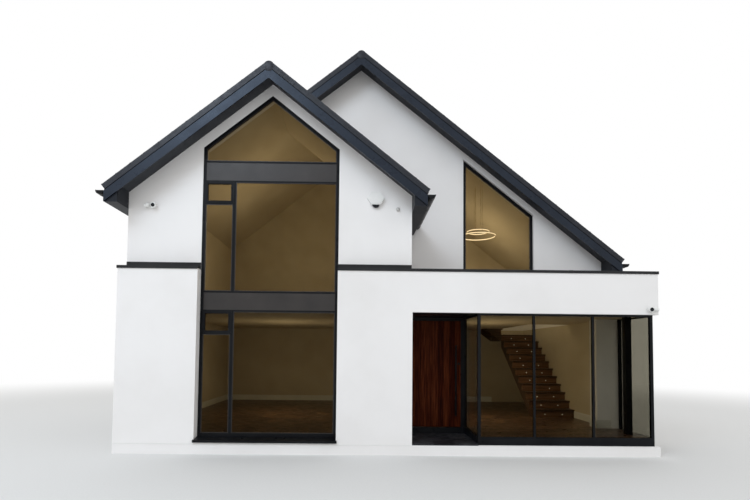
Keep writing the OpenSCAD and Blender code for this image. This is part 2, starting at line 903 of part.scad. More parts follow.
module glass_room_base() {
    color(black_metal) {
        block(room_left, room_right, room_front, room_back, raft_h, rail_z);
        block(room_left, room_left + post_w, room_back, entry_in, raft_h, rail_z);
        block(room_right - post_w, room_right, room_back, entry_y, raft_h, rail_z);
    }
}

module steel_column() {
    x = inner_half - column_x;
    y = front_in + column_y;
    color(black_metal)
        block(x - column_w / 2, x + column_w / 2, y - column_w / 2, y + column_w / 2,
              floor_z, ceiling_z);
}

// The slate in the entrance recess
module porch_floor() {
    color(anthracite)
        block(wing_right, room_left, front_y, entry_y, raft_h, raft_h + porch_tile_t);
}

knuckle_l = (barrel_l - 2 * knuckle_gap) / 3;
web_y = hinge_y - barrel_r / 2;

// The hinge halves on the frame: a plate, two outer knuckles and the pin
module fixed_hinge(low) {
    block(jamb_left - plate_w, jamb_left, leaf_in, leaf_in + plate_t, low, low + barrel_l);
    translate([hinge_x, hinge_y, low]) cylinder(r = pin_r, h = barrel_l);
    for (z = [low, low + barrel_l - knuckle_l]) {
        translate([hinge_x, hinge_y, z]) cylinder(r = barrel_r, h = knuckle_l);
        block(hinge_x - barrel_r, hinge_x, leaf_in + plate_t / 2, web_y, z, z + knuckle_l);
    }
}

// Jambs and head, with the stops on their outer side and the fixed hinge halves
module door_frame() {
    color(black_metal) {
        block(wing_right, jamb_left, entry_y, entry_in, threshold_top, ceiling_z);
        block(jamb_right, room_left, entry_y, entry_in, threshold_top, ceiling_z);
        block(jamb_left, jamb_right, entry_y, entry_in, head_z, ceiling_z);
        block(jamb_left, jamb_left + stop_w, entry_y, entry_y + stop_t, threshold_top, head_z);
        block(jamb_right - stop_w, jamb_right, entry_y, entry_y + stop_t, threshold_top, head_z);
        block(jamb_left, jamb_right, entry_y, entry_y + stop_t, head_z - stop_w, head_z);
        for (z = hinge_heights) fixed_hinge(z - barrel_l / 2);
    }
}

module door_threshold() {
    color(black_metal)
        block(wing_right, room_left, entry_y, entry_in, raft_h, threshold_top);
}

// The leaf carries its own hinge halves, each a plate and a middle knuckle
module door_leaf() {
    color(mahogany) difference() {
        union() {
            block(leaf_left, leaf_right, leaf_out, leaf_in, leaf_bottom, leaf_top);
            for (z = hinge_heights) {
                block(leaf_left, leaf_left + plate_w, leaf_in, leaf_in + plate_t,
                      z - barrel_l / 2, z + barrel_l / 2);
                translate([hinge_x, hinge_y, z - knuckle_l / 2])
                    cylinder(r = barrel_r, h = knuckle_l);
                block(hinge_x, hinge_x + barrel_r, leaf_in + plate_t / 2, web_y,
                      z - knuckle_l / 2, z + knuckle_l / 2);
            }
        }
        for (z = hinge_heights)
            translate([hinge_x, hinge_y, z - knuckle_l])
                cylinder(r = pin_r + pin_gap, h = 2 * knuckle_l);
    }
}

bar_up = 235;
bar_z = leaf_bottom + bar_up;
lock_up = 1345;
lock_z = floor_z + lock_up;
lock_in = 52;
lock_r = 24;
lock_t = 12;
bracket_in = 220;

// The long bar handle on two brackets, and the lock's round plate beside it
module door_furniture() {
    x = leaf_right - bar_in;
    y = leaf_out - bar_off;
    color(black_metal) {
        translate([x, y, bar_z]) cylinder(r = bar_r, h = bar_l);
        for (z = [bar_z + bracket_in, bar_z + bar_l - bracket_in])
            translate([x, leaf_out, z]) rotate([90, 0, 0]) cylinder(r = bar_r / 2, h = bar_off);
        translate([leaf_right - lock_in, leaf_out, lock_z]) rotate([90, 0, 0])
            cylinder(r = lock_r, h = lock_t);
    }
}

// Where the face of a riser stands, counted from the foot of each flight
function lower_face(i) = flight_y + i * step_d;
function upper_face(i) = stair_left - i * step_d;

// Each tread runs under the riser behind it, and the landing under the upper flight
module stair_treads() {
    color(oak) {
        for (i = [1 : lower_risers - 1])
            block(stair_left, stair_right, lower_face(i - 1) - nosing,
                  lower_face(i) + riser_t, floor_z + i * riser_h - tread_t,
                  floor_z + i * riser_h);
        block(stair_left - riser_t, stair_right, landing_y - nosing, back_in,
              landing_z - tread_t, landing_z);
        block(stair_left, stair_right, landing_y + riser_t, back_in,
              landing_z - landing_t, landing_z);
        for (i = [1 : upper_risers - 1])
            block(max(upper_face(i) - riser_t, flight_x), upper_face(i - 1) + nosing,
                  landing_y, back_in, landing_z + i * riser_h - tread_t,
                  landing_z + i * riser_h);
    }
}

module stair_risers() {
    color(oak) {
        for (i = [0 : lower_risers - 1])
            block(stair_left, stair_right, lower_face(i), lower_face(i) + riser_t,
                  floor_z + i * riser_h + bed_gap,
                  floor_z + (i + 1) * riser_h - tread_t - bed_gap);
        for (i = [0 : upper_risers - 2])
            block(upper_face(i) - riser_t, upper_face(i), landing_y, back_in,
                  landing_z + i * riser_h + bed_gap,
                  landing_z + (i + 1) * riser_h - tread_t - bed_gap);
    }
}

// How far a carrying board reaches straight down under a step's inner corner
string_drop = string_d * sqrt(1 + pow(riser_h / step_d, 2));

// Sawn boards under both flights: their notches hold the treads and risers
module lower_string() {
    top_y = lower_face(lower_risers - 1) + riser_t + bed_gap;
    low_y = lower_face(0) + riser_t + bed_gap;
    polygon(concat(
        [[low_y, floor_z]],
        [for (i = [0 : lower_risers - 2], back = [0, 1])
            [lower_face(i + back) + riser_t + bed_gap,
             floor_z + (i + 1) * riser_h - tread_t - bed_gap]],
        [[top_y, landing_z - riser_h - tread_t - string_drop],
         [low_y + string_drop * step_d / riser_h, floor_z]]));
}

module upper_string() {
    near_x = upper_face(0) - riser_t - bed_gap;
    polygon(concat(
        [for (i = [0 : upper_risers - 2], back = [0, 1])
            [max(upper_face(i + back) - riser_t - bed_gap, flight_x),
             landing_z + (i + 1) * riser_h - tread_t - bed_gap]],
        [[flight_x, first_floor_z - riser_h - tread_t - string_drop],
         [near_x, landing_z - landing_t]]));
}

module stair_strings() {
    color(oak) {
        crossways(stair_left, stair_left + string_t) lower_string();
        crossways(stair_right - string_t, stair_right) lower_string();
        upright(landing_y, landing_y + string_t) upper_string();
        upright(back_in - string_t, back_in) upper_string();
    }
}

// The outline of a plain window from its lower corner, and the glass inside its frame
module window_gap(x, z) {
    rect(x, x + plain_w, z, z + plain_h);
}

module pane_shape(x, z) {
    rect(x + frame_w, x + plain_w - frame_w, z + frame_w, z + plain_h - frame_w);
}

module frame_shape(x, z) {
    difference() {
        window_gap(x, z);
        pane_shape(x, z);
    }
}

// The garden opening is divided by two uprights
module garden_panes() {
    light = (garden_w - 2 * frame_w - 2 * bar_w) / 3;
    for (i = [0 : 2])
        rect(garden_x + frame_w + i * (light + bar_w),
             garden_x + frame_w + i * (light + bar_w) + light,
             floor_z + frame_w, floor_z + garden_h - frame_w);
}

module other_window_frames() {
    color(black_metal) {
        crossways(-half + reveal, -half + reveal + frame_d) frame_shape(side_win_y, side_z);
        for (x = back_win_x)
            upright(upper_back - reveal - frame_d, upper_back - reveal) frame_shape(x, back_z);
        upright(back_y - reveal - frame_d, back_y - reveal) difference() {
            rect(garden_x, garden_x + garden_w, floor_z, floor_z + garden_h);
            garden_panes();
        }
    }
}

// A sheet of glass of the given outline, centred on a frame that starts at y0
module sheet(y0, depth) {
    upright(y0 + (depth - glass_t) / 2, y0 + (depth + glass_t) / 2) children();
}

module side_sheet(x0, depth) {
    crossways(x0 + (depth - glass_t) / 2, x0 + (depth + glass_t) / 2) children();
}

module window_glass() {
    color(pane_blue) {
        sheet(tall_y, frame_d) tall_lights();
        sheet(main_front + reveal, frame_d) slope_light();
        sheet(room_front, screen_d) front_panes();
        side_sheet(room_left, post_w) side_pane(entry_in);
        side_sheet(room_right - post_w, post_w) side_pane(entry_y);
        side_sheet(-half + reveal, frame_d) pane_shape(side_win_y, side_z);
        for (x = back_win_x)
            sheet(upper_back - reveal - frame_d, frame_d) pane_shape(x, back_z);
        sheet(back_y - reveal - frame_d, frame_d) garden_panes();
    }
}

// A lamp of two rings, each hung by two thin rods from the sloping ceiling
lamp_in = 550;
lamp_x = slope_left + lamp_in;
lamp_y = main_front_in + lamp_in;
lamp_up = 1735;
lamp_z = first_floor_z + lamp_up;
ring_step = 110;
module hung_ring(r, z) {
    translate([lamp_x, lamp_y, z])
        rotate_extrude() translate([r - ring_t / 2, 0]) square([ring_t, ring_h]);
    for (side = [-1, 1])
        translate([lamp_x, lamp_y + side * r, z])
            cylinder(r = rod_r, h = right_line(lamp_x + rod_r) - under - z);
}

module ring_lamp() {
    color("white") {
        hung_ring(ring_r, lamp_z);
        hung_ring(small_ring_r, lamp_z + ring_step);
    }
}

// The alarm box hangs beside the wing's right-hand corner, under the verge
alarm_in = 705;
alarm_drop = 255;
function hex_sin(i) = i % 3 == 0 ? 0 : (i < 3 ? 1 : -1);
module alarm_box() {
    color("white") translate([wing_right - alarm_in, 0, eave_z - alarm_drop])
        upright(upper_front - alarm_d, upper_front)
            polygon([for (i = [0 : 5]) [alarm_w / 2 * cos(60 * i), alarm_h / 2 * hex_sin(i)]]);
}

// A small camera: a round base on the wall, and a body that points forward and down
cam_base_t = 36;
cam_dip = 20;
module wall_camera(x, y, z, turn) {
    translate([x, y, z]) rotate([90, 0, 0]) cylinder(r = cam_base_r, h = cam_base_t);
    translate([x, y - cam_base_t / 2, z]) rotate([90 + cam_dip, 0, turn])
        cylinder(r = cam_r, h = cam_l);
}

// Two cameras high on the left, one at the right end of the fascia, and a light sensor
pair_in = 410;
pair_gap = 140;
pair_drop = 425;
end_in = 80;
end_up = 126;
sensor_in = 278;
sensor_drop = 457;
cam_turn = 20;
module wall_sensors() {
    color("white") {
        for (side = [-1, 1])
            wall_camera(pair_in - upper_half + side * pair_gap / 2, upper_front,
                        eave_z - pair_drop, side * cam_turn);
        wall_camera(half - end_in, front_y, ceiling_z + end_up, cam_turn);
        translate([wing_right - sensor_in, upper_front, eave_z - sensor_drop])
            block(-sensor_w / 2, sensor_w / 2, -sensor_w, 0, -sensor_w / 2, sensor_w / 2);
    }
}

raft();
ground_floor();
lower_front_wall();
fascia();
lower_left_wall();
lower_right_wall();
lower_back_wall();
porch_side_wall();
entrance_pier();
first_floor();
flat_roof();
wing_gable_wall();
upper_left_wall();
wing_right_wall();
main_gable_wall();
upper_right_wall();
back_gable_wall();
left_roof_slope();
wing_right_slope();
main_right_slope();
barge_boards();
verge_strips();
ridge_caps();
eave_boards();
gutters();
downpipes();
ledge_coping();
tall_window_frame();
dark_panels();
window_sill();
sloping_window_frame();
glass_room_front();
glass_room_sides();
glass_room_base();
window_glass();
steel_column();
porch_floor();
door_frame();
door_threshold();
door_leaf();
door_furniture();
stair_treads();
stair_risers();
stair_strings();
other_window_frames();
ring_lamp();
alarm_box();
wall_sensors();
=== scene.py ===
import math
import random

import bmesh
import bpy
from mathutils import Matrix, Vector


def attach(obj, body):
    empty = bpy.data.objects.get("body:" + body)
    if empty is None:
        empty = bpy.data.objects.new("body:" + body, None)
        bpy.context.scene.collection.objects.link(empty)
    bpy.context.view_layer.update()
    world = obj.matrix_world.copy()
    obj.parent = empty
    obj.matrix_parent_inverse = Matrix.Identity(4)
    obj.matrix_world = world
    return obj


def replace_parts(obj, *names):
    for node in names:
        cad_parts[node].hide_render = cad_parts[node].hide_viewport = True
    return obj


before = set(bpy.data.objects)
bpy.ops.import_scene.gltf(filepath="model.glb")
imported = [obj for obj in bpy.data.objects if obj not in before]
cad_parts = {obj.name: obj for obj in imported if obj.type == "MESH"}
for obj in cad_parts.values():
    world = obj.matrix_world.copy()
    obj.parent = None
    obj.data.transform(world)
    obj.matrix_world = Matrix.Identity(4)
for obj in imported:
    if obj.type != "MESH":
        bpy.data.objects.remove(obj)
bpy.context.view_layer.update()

# The camera: 13 m in front of the origin and 1.92 m up, turned a little up and to the
# right, with the lens shifted up so that the walls stay upright.
CAMERA_AT = (-0.597, -13.0, 1.92)
CAMERA_TURNS = ((-0.768, "Z"), (92.651, "X"), (0.563, "Z"))


def show(made):
    """Puts an object into the scene."""
    bpy.context.scene.collection.objects.link(made)
    return made


camera_data = bpy.data.cameras.new("front_camera")
camera_data.sensor_width, camera_data.lens = 36.0, 24.0
camera_data.shift_x, camera_data.shift_y = 0.0144, 0.1052
front_camera = show(bpy.data.objects.new("front_camera", camera_data))
camera_place = Matrix.Translation(CAMERA_AT)
for degrees, axis in CAMERA_TURNS:
    camera_place = camera_place @ Matrix.Rotation(math.radians(degrees), 4, axis)
front_camera.matrix_world = camera_place
bpy.context.scene.camera = front_camera
bpy.context.scene.view_settings.view_transform = "Standard"

# The studio: an even white surround and one wide soft light at the front left, whose
# picture shows in the metal of the left-hand slopes.
WHITE = (1.0, 1.0, 1.0, 1.0)
SOFT_AT, SOFT_BACK = Vector((-8.5, -17.0, 15.0)), Vector((-7.0, -15.0, 10.5))


def add(tree, kind, inputs=None, **settings):
    """Adds one shader node. An input that is a socket is linked, any other is a value."""
    made = tree.nodes.new("ShaderNode" + kind)
    for key, value in settings.items():
        setattr(made, key, value)
    for key, value in (inputs or {}).items():
        if isinstance(value, bpy.types.NodeSocket):
            tree.links.new(value, made.inputs[key])
        else:
            made.inputs[key].default_value = value
    return made


def seen_directly(tree):
    """1 for what the camera, a mirror or a pane shows, 0 for light that falls on things."""
    path = add(tree, "LightPath").outputs
    either = add(tree, "Math", {0: path["Is Camera Ray"], 1: path["Is Glossy Ray"]},
                 operation="MAXIMUM").outputs[0]
    return add(tree, "Math", {0: either, 1: path["Is Transmission Ray"]},
               operation="MAXIMUM").outputs[0]


world = bpy.data.worlds.new("studio")
bpy.context.scene.world = world
world.use_nodes = True
tree = world.node_tree
tree.nodes.clear()
surround = add(tree, "MixShader", {
    0: seen_directly(tree),
    1: add(tree, "Background", {"Color": WHITE, "Strength": 0.95}).outputs[0],
    2: add(tree, "Background", {"Color": WHITE, "Strength": 1.0}).outputs[0]})
tree.links.new(surround.outputs[0], add(tree, "OutputWorld").inputs["Surface"])

soft_data = bpy.data.lights.new("soft_light", "AREA")
soft_data.shape = "RECTANGLE"
soft_data.size, soft_data.size_y = 16.0, 12.0
soft_data.energy = 3600.0
soft_data.color = (0.74, 0.86, 1.0)
soft_data.use_nodes = True
tree = soft_data.node_tree
from_middle = add(tree, "VectorMath", {
    0: add(tree, "NewGeometry").outputs["Parametric"], 1: (0.5, 0.5, 0.0)},
    operation="DISTANCE").outputs["Value"]
soft_edge = add(tree, "MapRange", {"Value": from_middle, "From Min": 0.10, "From Max": 0.50,
                                   "To Min": 1.0, "To Max": 0.0},
                interpolation_type="SMOOTHSTEP").outputs["Result"]
tree.links.new(soft_edge, tree.nodes["Emission"].inputs["Strength"])
soft_light = show(bpy.data.objects.new("soft_light", soft_data))
soft_light.visible_camera = False
soft_light.matrix_world = Matrix.Translation(SOFT_AT) @ (
    SOFT_BACK.to_track_quat("Z", "Y").to_matrix().to_4x4())

# The studio floor: a pale matt sheet laid flat, that runs out into the white of the
# surround.
FLOOR_R, PALE_R, WHITE_R = 90.0, 12.0, 26.0


def finish(name, rough=0.5, shine=0.5, **sockets):
    """A material of one Principled shader: how rough it is, how much it shines, and any
    other fixed values, each set on its own socket."""
    made = bpy.data.materials.new(name)
    made.use_nodes = True
    for socket, value in {"Roughness": rough, "Specular_IOR_Level": shine, **sockets}.items():
        made.node_tree.nodes["Principled BSDF"].inputs[
            socket.replace("_", " ")].default_value = value
    return made


def noise(mat, scale, detail=3.0, stretch=None):
    """Noise of so many waves a metre on the piece's own place, finer where stretched."""
    tree = mat.node_tree
    vector = add(tree, "TexCoord").outputs["Object"]
    if stretch:
        vector = add(tree, "Mapping", {"Vector": vector, "Scale": stretch}).outputs["Vector"]
    return add(tree, "TexNoise", {"Vector": vector, "Scale": scale, "Detail": detail}
               ).outputs["Fac"]


def drive(mat, socket, source):
    """Links a colour, number or normal to the material's shader."""
    mat.node_tree.links.new(source, mat.node_tree.nodes["Principled BSDF"].inputs[socket])


def colour(mat, factor, *stops, socket="Base Color"):
    """Colours the surface through stops of (place, colour) as the factor rises."""
    made = add(mat.node_tree, "ValToRGB", {"Fac": factor})
    line = made.color_ramp
    for i, (at, tone) in enumerate(stops):
        stop = line.elements[i] if i < 2 else line.elements.new(at)
        stop.position = at
        stop.color = (*tone, 1.0)
    drive(mat, socket, made.outputs["Color"])


floor_mat = finish("floor_sheet", rough=0.9, shine=0.1)
colour(floor_mat, noise(floor_mat, 40.0, 4.0), (0.0, (0.66, 0.66, 0.65)),
       (1.0, (0.74, 0.74, 0.73)))
tree = floor_mat.node_tree
away = add(tree, "VectorMath", {0: add(tree, "TexCoord").outputs["Object"]},
           operation="LENGTH").outputs["Value"]
fade = add(tree, "MapRange", {"Value": away, "From Min": PALE_R, "From Max": WHITE_R},
           interpolation_type="SMOOTHSTEP").outputs["Result"]
fade = add(tree, "Math", {0: fade, 1: seen_directly(tree)}, operation="MULTIPLY").outputs[0]
faded = add(tree, "MixShader", {
    0: fade, 1: tree.nodes["Principled BSDF"].outputs[0],
    2: add(tree, "Emission", {"Color": WHITE, "Strength": 1.0}).outputs[0]})
tree.links.new(faded.outputs[0], tree.nodes["Material Output"].inputs["Surface"])
bm = bmesh.new()
bmesh.ops.create_circle(bm, cap_ends=True, segments=96, radius=FLOOR_R)
floor_mesh = bpy.data.meshes.new("studio_floor")
bm.to_mesh(floor_mesh)
bm.free()
floor_mesh.materials.append(floor_mat)
studio_floor = show(bpy.data.objects.new("studio_floor", floor_mesh))

# The walls: block and timber frame under a smooth white silicone render, trowelled in
# one coat over mesh, with a bead at its foot where it stops above the ground.
WALLS = ("raft", "lower_front_wall", "fascia", "lower_left_wall", "lower_right_wall",
         "lower_back_wall", "porch_side_wall", "entrance_pier", "wing_gable_wall",
         "upper_left_wall", "wing_right_wall", "main_gable_wall", "upper_right_wall",
         "back_gable_wall")


def relief(mat, *layers):
    """Raises the surface by layers of (height factor, metres), one over the other."""
    normal = None
    for height, metres in layers:
        inputs = {"Height": height, "Distance": metres, "Strength": 1.0}
        if normal:
            inputs["Normal"] = normal
        normal = add(mat.node_tree, "Bump", inputs).outputs["Normal"]
    drive(mat, "Normal", normal)


def dress(mat, *nodes):
    """Gives CAD nodes a material in their own slots."""
    for name in nodes:
        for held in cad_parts[name].material_slots:
            held.material = mat


white_render = finish("white_render", rough=0.82, shine=0.3)
colour(white_render, noise(white_render, 0.7, 5.0), (0.30, (0.800, 0.783, 0.768)),
       (0.55, (0.845, 0.830, 0.820)), (0.75, (0.862, 0.848, 0.838)))
relief(white_render, (noise(white_render, 2.4, 2.0), 0.004), (noise(white_render, 240.0), 0.0012))
dress(white_render, *WALLS)

# The roof tiles: flat interlocking concrete tiles, each with a raised side lap, laid
# head under tail on battens from the gutter up and nailed.
PITCH = math.radians(38.5)
RISE, SLANT = math.tan(PITCH), math.cos(PITCH)
WALL_X, SPRING_Z, EAVE_X, WING_EAVE_X = 5.04, 5.15, 5.28, 0.68
WING_RIDGE = (-2.30, SPRING_Z + (WALL_X - 2.30) * RISE)
MAIN_RIDGE = (-0.57, SPRING_Z + (WALL_X - 0.57) * RISE)
WING_VERGE, MAIN_VERGE, BACK_VERGE, GABLE_FACE = -3.90, -2.05, 4.02, -1.55
GAUGE, HEAD_LAP, TILE_W, TILE_T, BED_T = 0.321, 0.075, 0.300, 0.014, 0.025
LAP_IN, EAVE_LAP, TOP_IN, SLIP = 0.03, 0.045, 0.01, 0.001


def on_slope(side, ridge):
    """Puts drawings (down the slope, along it, out of it) on a slope that falls from a
    ridge to the left (-1) or right (1); along it is -Y on the left and +Y on the right."""
    down = Vector((side * SLANT, 0, -math.sin(PITCH)))
    out = Vector((side * math.sin(PITCH), 0, SLANT))
    made = Matrix.Identity(4)
    for i, axis in enumerate((down, Vector((0, side, 0)), out)):
        made.col[i] = (*axis, 0)
    made.translation = (ridge[0], 0, ridge[1])
    return made


def flat(bm, points):
    """A flat face with these corners."""
    return bm.faces.new([bm.verts.new(point) for point in points])


def pull(bm, faces, vec):
    """Extrudes faces by a vector, which makes them a closed block."""
    grown = bmesh.ops.extrude_face_region(bm, geom=faces)["geom"]
    bmesh.ops.translate(bm, verts=[v for v in grown if isinstance(v, bmesh.types.BMVert)],
                        vec=vec)


def pattern(bm):
    """A small mesh to be laid many times, with room for the tone of each copy."""
    mesh = bpy.data.meshes.new("pattern")
    bm.to_mesh(mesh)
    bm.free()
    mesh.attributes.new("tone", "FLOAT", "POINT")
    return mesh


def fit(at, *stretch):
    """A place at a point, stretched along x, y and z."""
    return Matrix.Translation(at) @ Matrix.Diagonal((*stretch, 1.0))


def lay(bm, mesh, place, tone):
    """Adds a copy of a small mesh at a place, with its own tone."""
    one = mesh.copy()
    one.transform(place)
    one.attributes["tone"].data.foreach_set("value", [tone] * len(one.vertices))
    bm.from_mesh(one)
    bpy.data.meshes.remove(one)


def toned(mat, factor):
    """A factor raised by the tone that each laid copy was given."""
    tone = add(mat.node_tree, "Attribute", attribute_name="tone").outputs["Fac"]
    return add(mat.node_tree, "Math", {0: tone, 1: factor}, operation="ADD").outputs[0]


def roughen(mat, factor, low, high):
    """Lets the roughness run from low to high as a factor rises."""
    drive(mat, "Roughness", add(mat.node_tree, "MapRange", {
        "Value": factor, "From Min": 0.3, "From Max": 0.7, "To Min": low, "To Max": high}
        ).outputs["Result"])


def piece(name, bm, mat, body="house", smooth=None):
    """Makes a named piece of a finished bmesh, and says what it rides on."""
    bmesh.ops.recalc_face_normals(bm, faces=bm.faces)
    mesh = bpy.data.meshes.new(name)
    bm.to_mesh(mesh)
    bm.free()
    if smooth:
        mesh.shade_smooth()
        mesh.set_sharp_from_angle(angle=math.radians(smooth))
    mesh.materials.append(mat)
    made = show(bpy.data.objects.new(name, mesh))
    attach(made, body)
    return made


tile_bm = bmesh.new()
profile = [(0, 0), (0, 0.016), (0.004, 0.020), (0.034, 0.020), (0.041, TILE_T),
           (TILE_W + 0.002, TILE_T), (TILE_W + 0.002, 0)]
pull(tile_bm, [flat(tile_bm, [(0, v, w) for v, w in profile])], (1, 0, 0.012))
tile = pattern(tile_bm)


def tile_field(bm, slope, start, end, top, foot, columns, rng, skip=None):
    """Tiles from foot up to top, in columns between start and end along the slope."""
    wide = (end - start) / columns
    for row in range(math.ceil((foot - top) / GAUGE - 0.2)):
        tail = foot - row * GAUGE
        head = max(tail - GAUGE - HEAD_LAP, top)
        for column in range(columns):
            along = start + column * wide
            if skip and skip(along, tail):
                continue
            lay(bm, tile, slope @ fit((head, along, -BED_T + rng.uniform(-SLIP, SLIP)),
                                      tail - head, wide / TILE_W, 1), rng.random())


roof_tile = finish("roof_tile", rough=0.62, shine=0.45)
colour(roof_tile, toned(roof_tile, noise(roof_tile, 3.0, 6.0)), (0.30, (0.036, 0.038, 0.042)),
       (0.95, (0.060, 0.062, 0.066)), (1.0, (0.066, 0.067, 0.069)))
roughen(roof_tile, noise(roof_tile, 9.0), 0.50, 0.75)
relief(roof_tile, (noise(roof_tile, 300.0), 0.0010), (noise(roof_tile, 40.0), 0.0008))
rng = random.Random(7)
left_slope, left_foot = on_slope(-1, MAIN_RIDGE), (MAIN_RIDGE[0] + EAVE_X) / SLANT + EAVE_LAP
wing_slope = on_slope(1, WING_RIDGE)
wing_foot = (WING_EAVE_X - WING_RIDGE[0]) / SLANT + EAVE_LAP
right_slope, right_foot = on_slope(1, MAIN_RIDGE), (EAVE_X - MAIN_RIDGE[0]) / SLANT + EAVE_LAP
wing_top = (MAIN_RIDGE[0] - WING_RIDGE[0]) / SLANT
bm = bmesh.new()
tile_field(bm, left_slope, LAP_IN - BACK_VERGE, -(MAIN_VERGE + LAP_IN), TOP_IN, left_foot,
           20, rng)
tile_field(bm, left_slope, -(MAIN_VERGE + LAP_IN), -(WING_VERGE + LAP_IN), wing_top + TOP_IN,
           left_foot, 6, rng)
piece("left_tiles", bm, roof_tile)
bm = bmesh.new()
tile_field(bm, wing_slope, WING_VERGE + LAP_IN, GABLE_FACE - 0.01, TOP_IN, wing_foot, 8, rng,
           skip=lambda along, tail: along > MAIN_VERGE - 0.05 and tail < GAUGE + 0.05)
piece("wing_right_tiles", bm, roof_tile)
bm = bmesh.new()
tile_field(bm, right_slope, MAIN_VERGE + LAP_IN, BACK_VERGE - LAP_IN, TOP_IN, right_foot, 20,
           rng)
piece("main_right_tiles", bm, roof_tile)
bpy.data.meshes.remove(tile)

# The roof slopes under the tiles: boarded rafters with a dark breathable sheet stapled over them,
# seen only from below. The sheet's dark colour is also painted shade for the soffits under the
# verges, where they show as a black band.
SLOPES = ("left_roof_slope", "wing_right_slope", "main_right_slope", "flat_roof")


def coat(name, dark, pale, waves, *grains, wear=None, at=(0.35, 0.70), **fixed):
    """A finish that runs from dark to pale in waves of (scale, detail). Grains of (scale,
    metres) raise it, and wear of (scale, detail, low, high) varies its roughness."""
    made = finish(name, **fixed)
    colour(made, noise(made, *waves), (at[0], dark), (at[1], pale))
    if wear:
        roughen(made, noise(made, *wear[:2]), *wear[2:])
    if grains:
        relief(made, *((noise(made, scale, *detail), metres)
                       for scale, metres, *detail in grains))
    return made


roof_sheet = coat("roof_sheet", (0.018, 0.020, 0.026), (0.030, 0.033, 0.040), (2.0, 5.0),
                  (120.0, 0.001), at=(0.35, 0.65), rough=0.7)
dress(roof_sheet, *SLOPES)

# The ridges: half-round concrete ridge tiles screwed down over the top courses, each
# lapped by a collar on the next.
RIDGE_L, RIDGE_R, RIDGE_T, RIDGE_HALF = 0.42, 0.104, 0.01, 1.42
COLLAR_L, COLLAR_R = 0.05, 0.109


def sweep(bm, section, centre, angle, steps):
    """Turns a four-cornered section about an axis along the house, its ends closed."""
    corners = [bm.verts.new(point) for point in section]
    first = [bm.edges.new((corners[k], corners[(k + 1) % 4])) for k in range(4)]
    turned = bmesh.ops.spin(bm, geom=corners + first, cent=centre, axis=(0, 1, 0),
                            angle=angle, steps=steps)["geom_last"]
    for rim in (first, [e for e in turned if isinstance(e, bmesh.types.BMEdge)]):
        bmesh.ops.edgeloop_fill(bm, edges=rim)


def ridge_run(bm, ridge, start, end):
    """Ridge tiles end to end between two places along a ridge."""
    count = round((end - start) / RIDGE_L)
    step = (end - start) / count
    centre = Vector((ridge[0], 0, ridge[1] - COLLAR_R))
    for y in (start + i * step for i in range(count)):
        for radius, to in ((RIDGE_R, y + step), (COLLAR_R, y + COLLAR_L)):
            corners = ((radius, y), (radius, to), (radius - RIDGE_T, to), (radius - RIDGE_T, y))
            sweep(bm, [centre + Vector((-r * math.sin(RIDGE_HALF), at, r * math.cos(RIDGE_HALF)))
                       for r, at in corners], centre, 2 * RIDGE_HALF, 12)


bm = bmesh.new()
ridge_run(bm, WING_RIDGE, WING_VERGE + 0.025, MAIN_VERGE - 0.01)
ridge_run(bm, MAIN_RIDGE, MAIN_VERGE + 0.025, BACK_VERGE - 0.025)
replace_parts(piece("ridge_tiles", bm, roof_tile, smooth=35), "ridge_caps")

# The verges: ribbed units of black polymer, one to each course of tiles, that clip over
# the tile ends and lap the unit below. A shadow gap parts them from the barge boards.
UNIT_L, SOCKET_L, UNIT_EASE, TOP_U = GAUGE + 0.012, 0.028, 0.0015, 0.07
RIBS, RIB_GAP, RIB_IN, RIB_W = 9, 0.0305, 0.016, 0.007
FACE, COVER = ((0.006, -0.004), (-0.089, 0.011)), ((0.006, -0.045), (0.007, 0.013))
SOCKET, RIB = ((0.009, -0.045), (-0.092, 0.016)), ((0.010, 0.005), (-0.080, -0.002))


def box(bm, x, y, z, ease=0.0, place=None):
    """Adds a board or block that fills the spans x, y and z, its edges eased."""
    (x0, x1), (y0, y1), (z0, z1) = sorted(x), sorted(y), sorted(z)
    corners = bmesh.ops.create_cube(bm, size=1.0, matrix=fit(
        ((x0 + x1) / 2, (y0 + y1) / 2, (z0 + z1) / 2), x1 - x0, y1 - y0, z1 - z0))["verts"]
    if ease:
        edges = list({e for v in corners for e in v.link_edges})
        corners = bmesh.ops.bevel(bm, geom=edges, offset=ease, segments=1, profile=0.5,
                                  affect="EDGES", material=-1)["verts"]
    if place:
        bmesh.ops.transform(bm, matrix=place, verts=corners)


def verge_unit(out):
    """One unit, its ribbed face turned to out times the direction along the slope."""
    bm = bmesh.new()
    ribs = (((RIB_IN + k * RIB_GAP, RIB_IN + k * RIB_GAP + RIB_W), RIB, 0)
            for k in range(RIBS))
    for u, (v, w), ease in (((0, UNIT_L), FACE, UNIT_EASE), ((0, UNIT_L), COVER, UNIT_EASE),
                            ((UNIT_L - SOCKET_L, UNIT_L), SOCKET, UNIT_EASE), *ribs):
        box(bm, u, (out * v[0], out * v[1]), w, ease)
    return pattern(bm)


def verge_run(bm, slope, verge, out, foot, top, bottom=None):
    """Units up a verge from foot to top; those below bottom are left out or cut."""
    unit = verge_unit(out)
    tail = foot
    while tail > top + 0.05:
        low, high = min(tail, bottom or tail), max(tail - UNIT_L, top)
        if low - high > 0.03:
            lay(bm, unit, slope @ fit((high, verge, 0), (low - high) / UNIT_L, 1, 1), 0.5)
        tail -= GAUGE
    bpy.data.meshes.remove(unit)


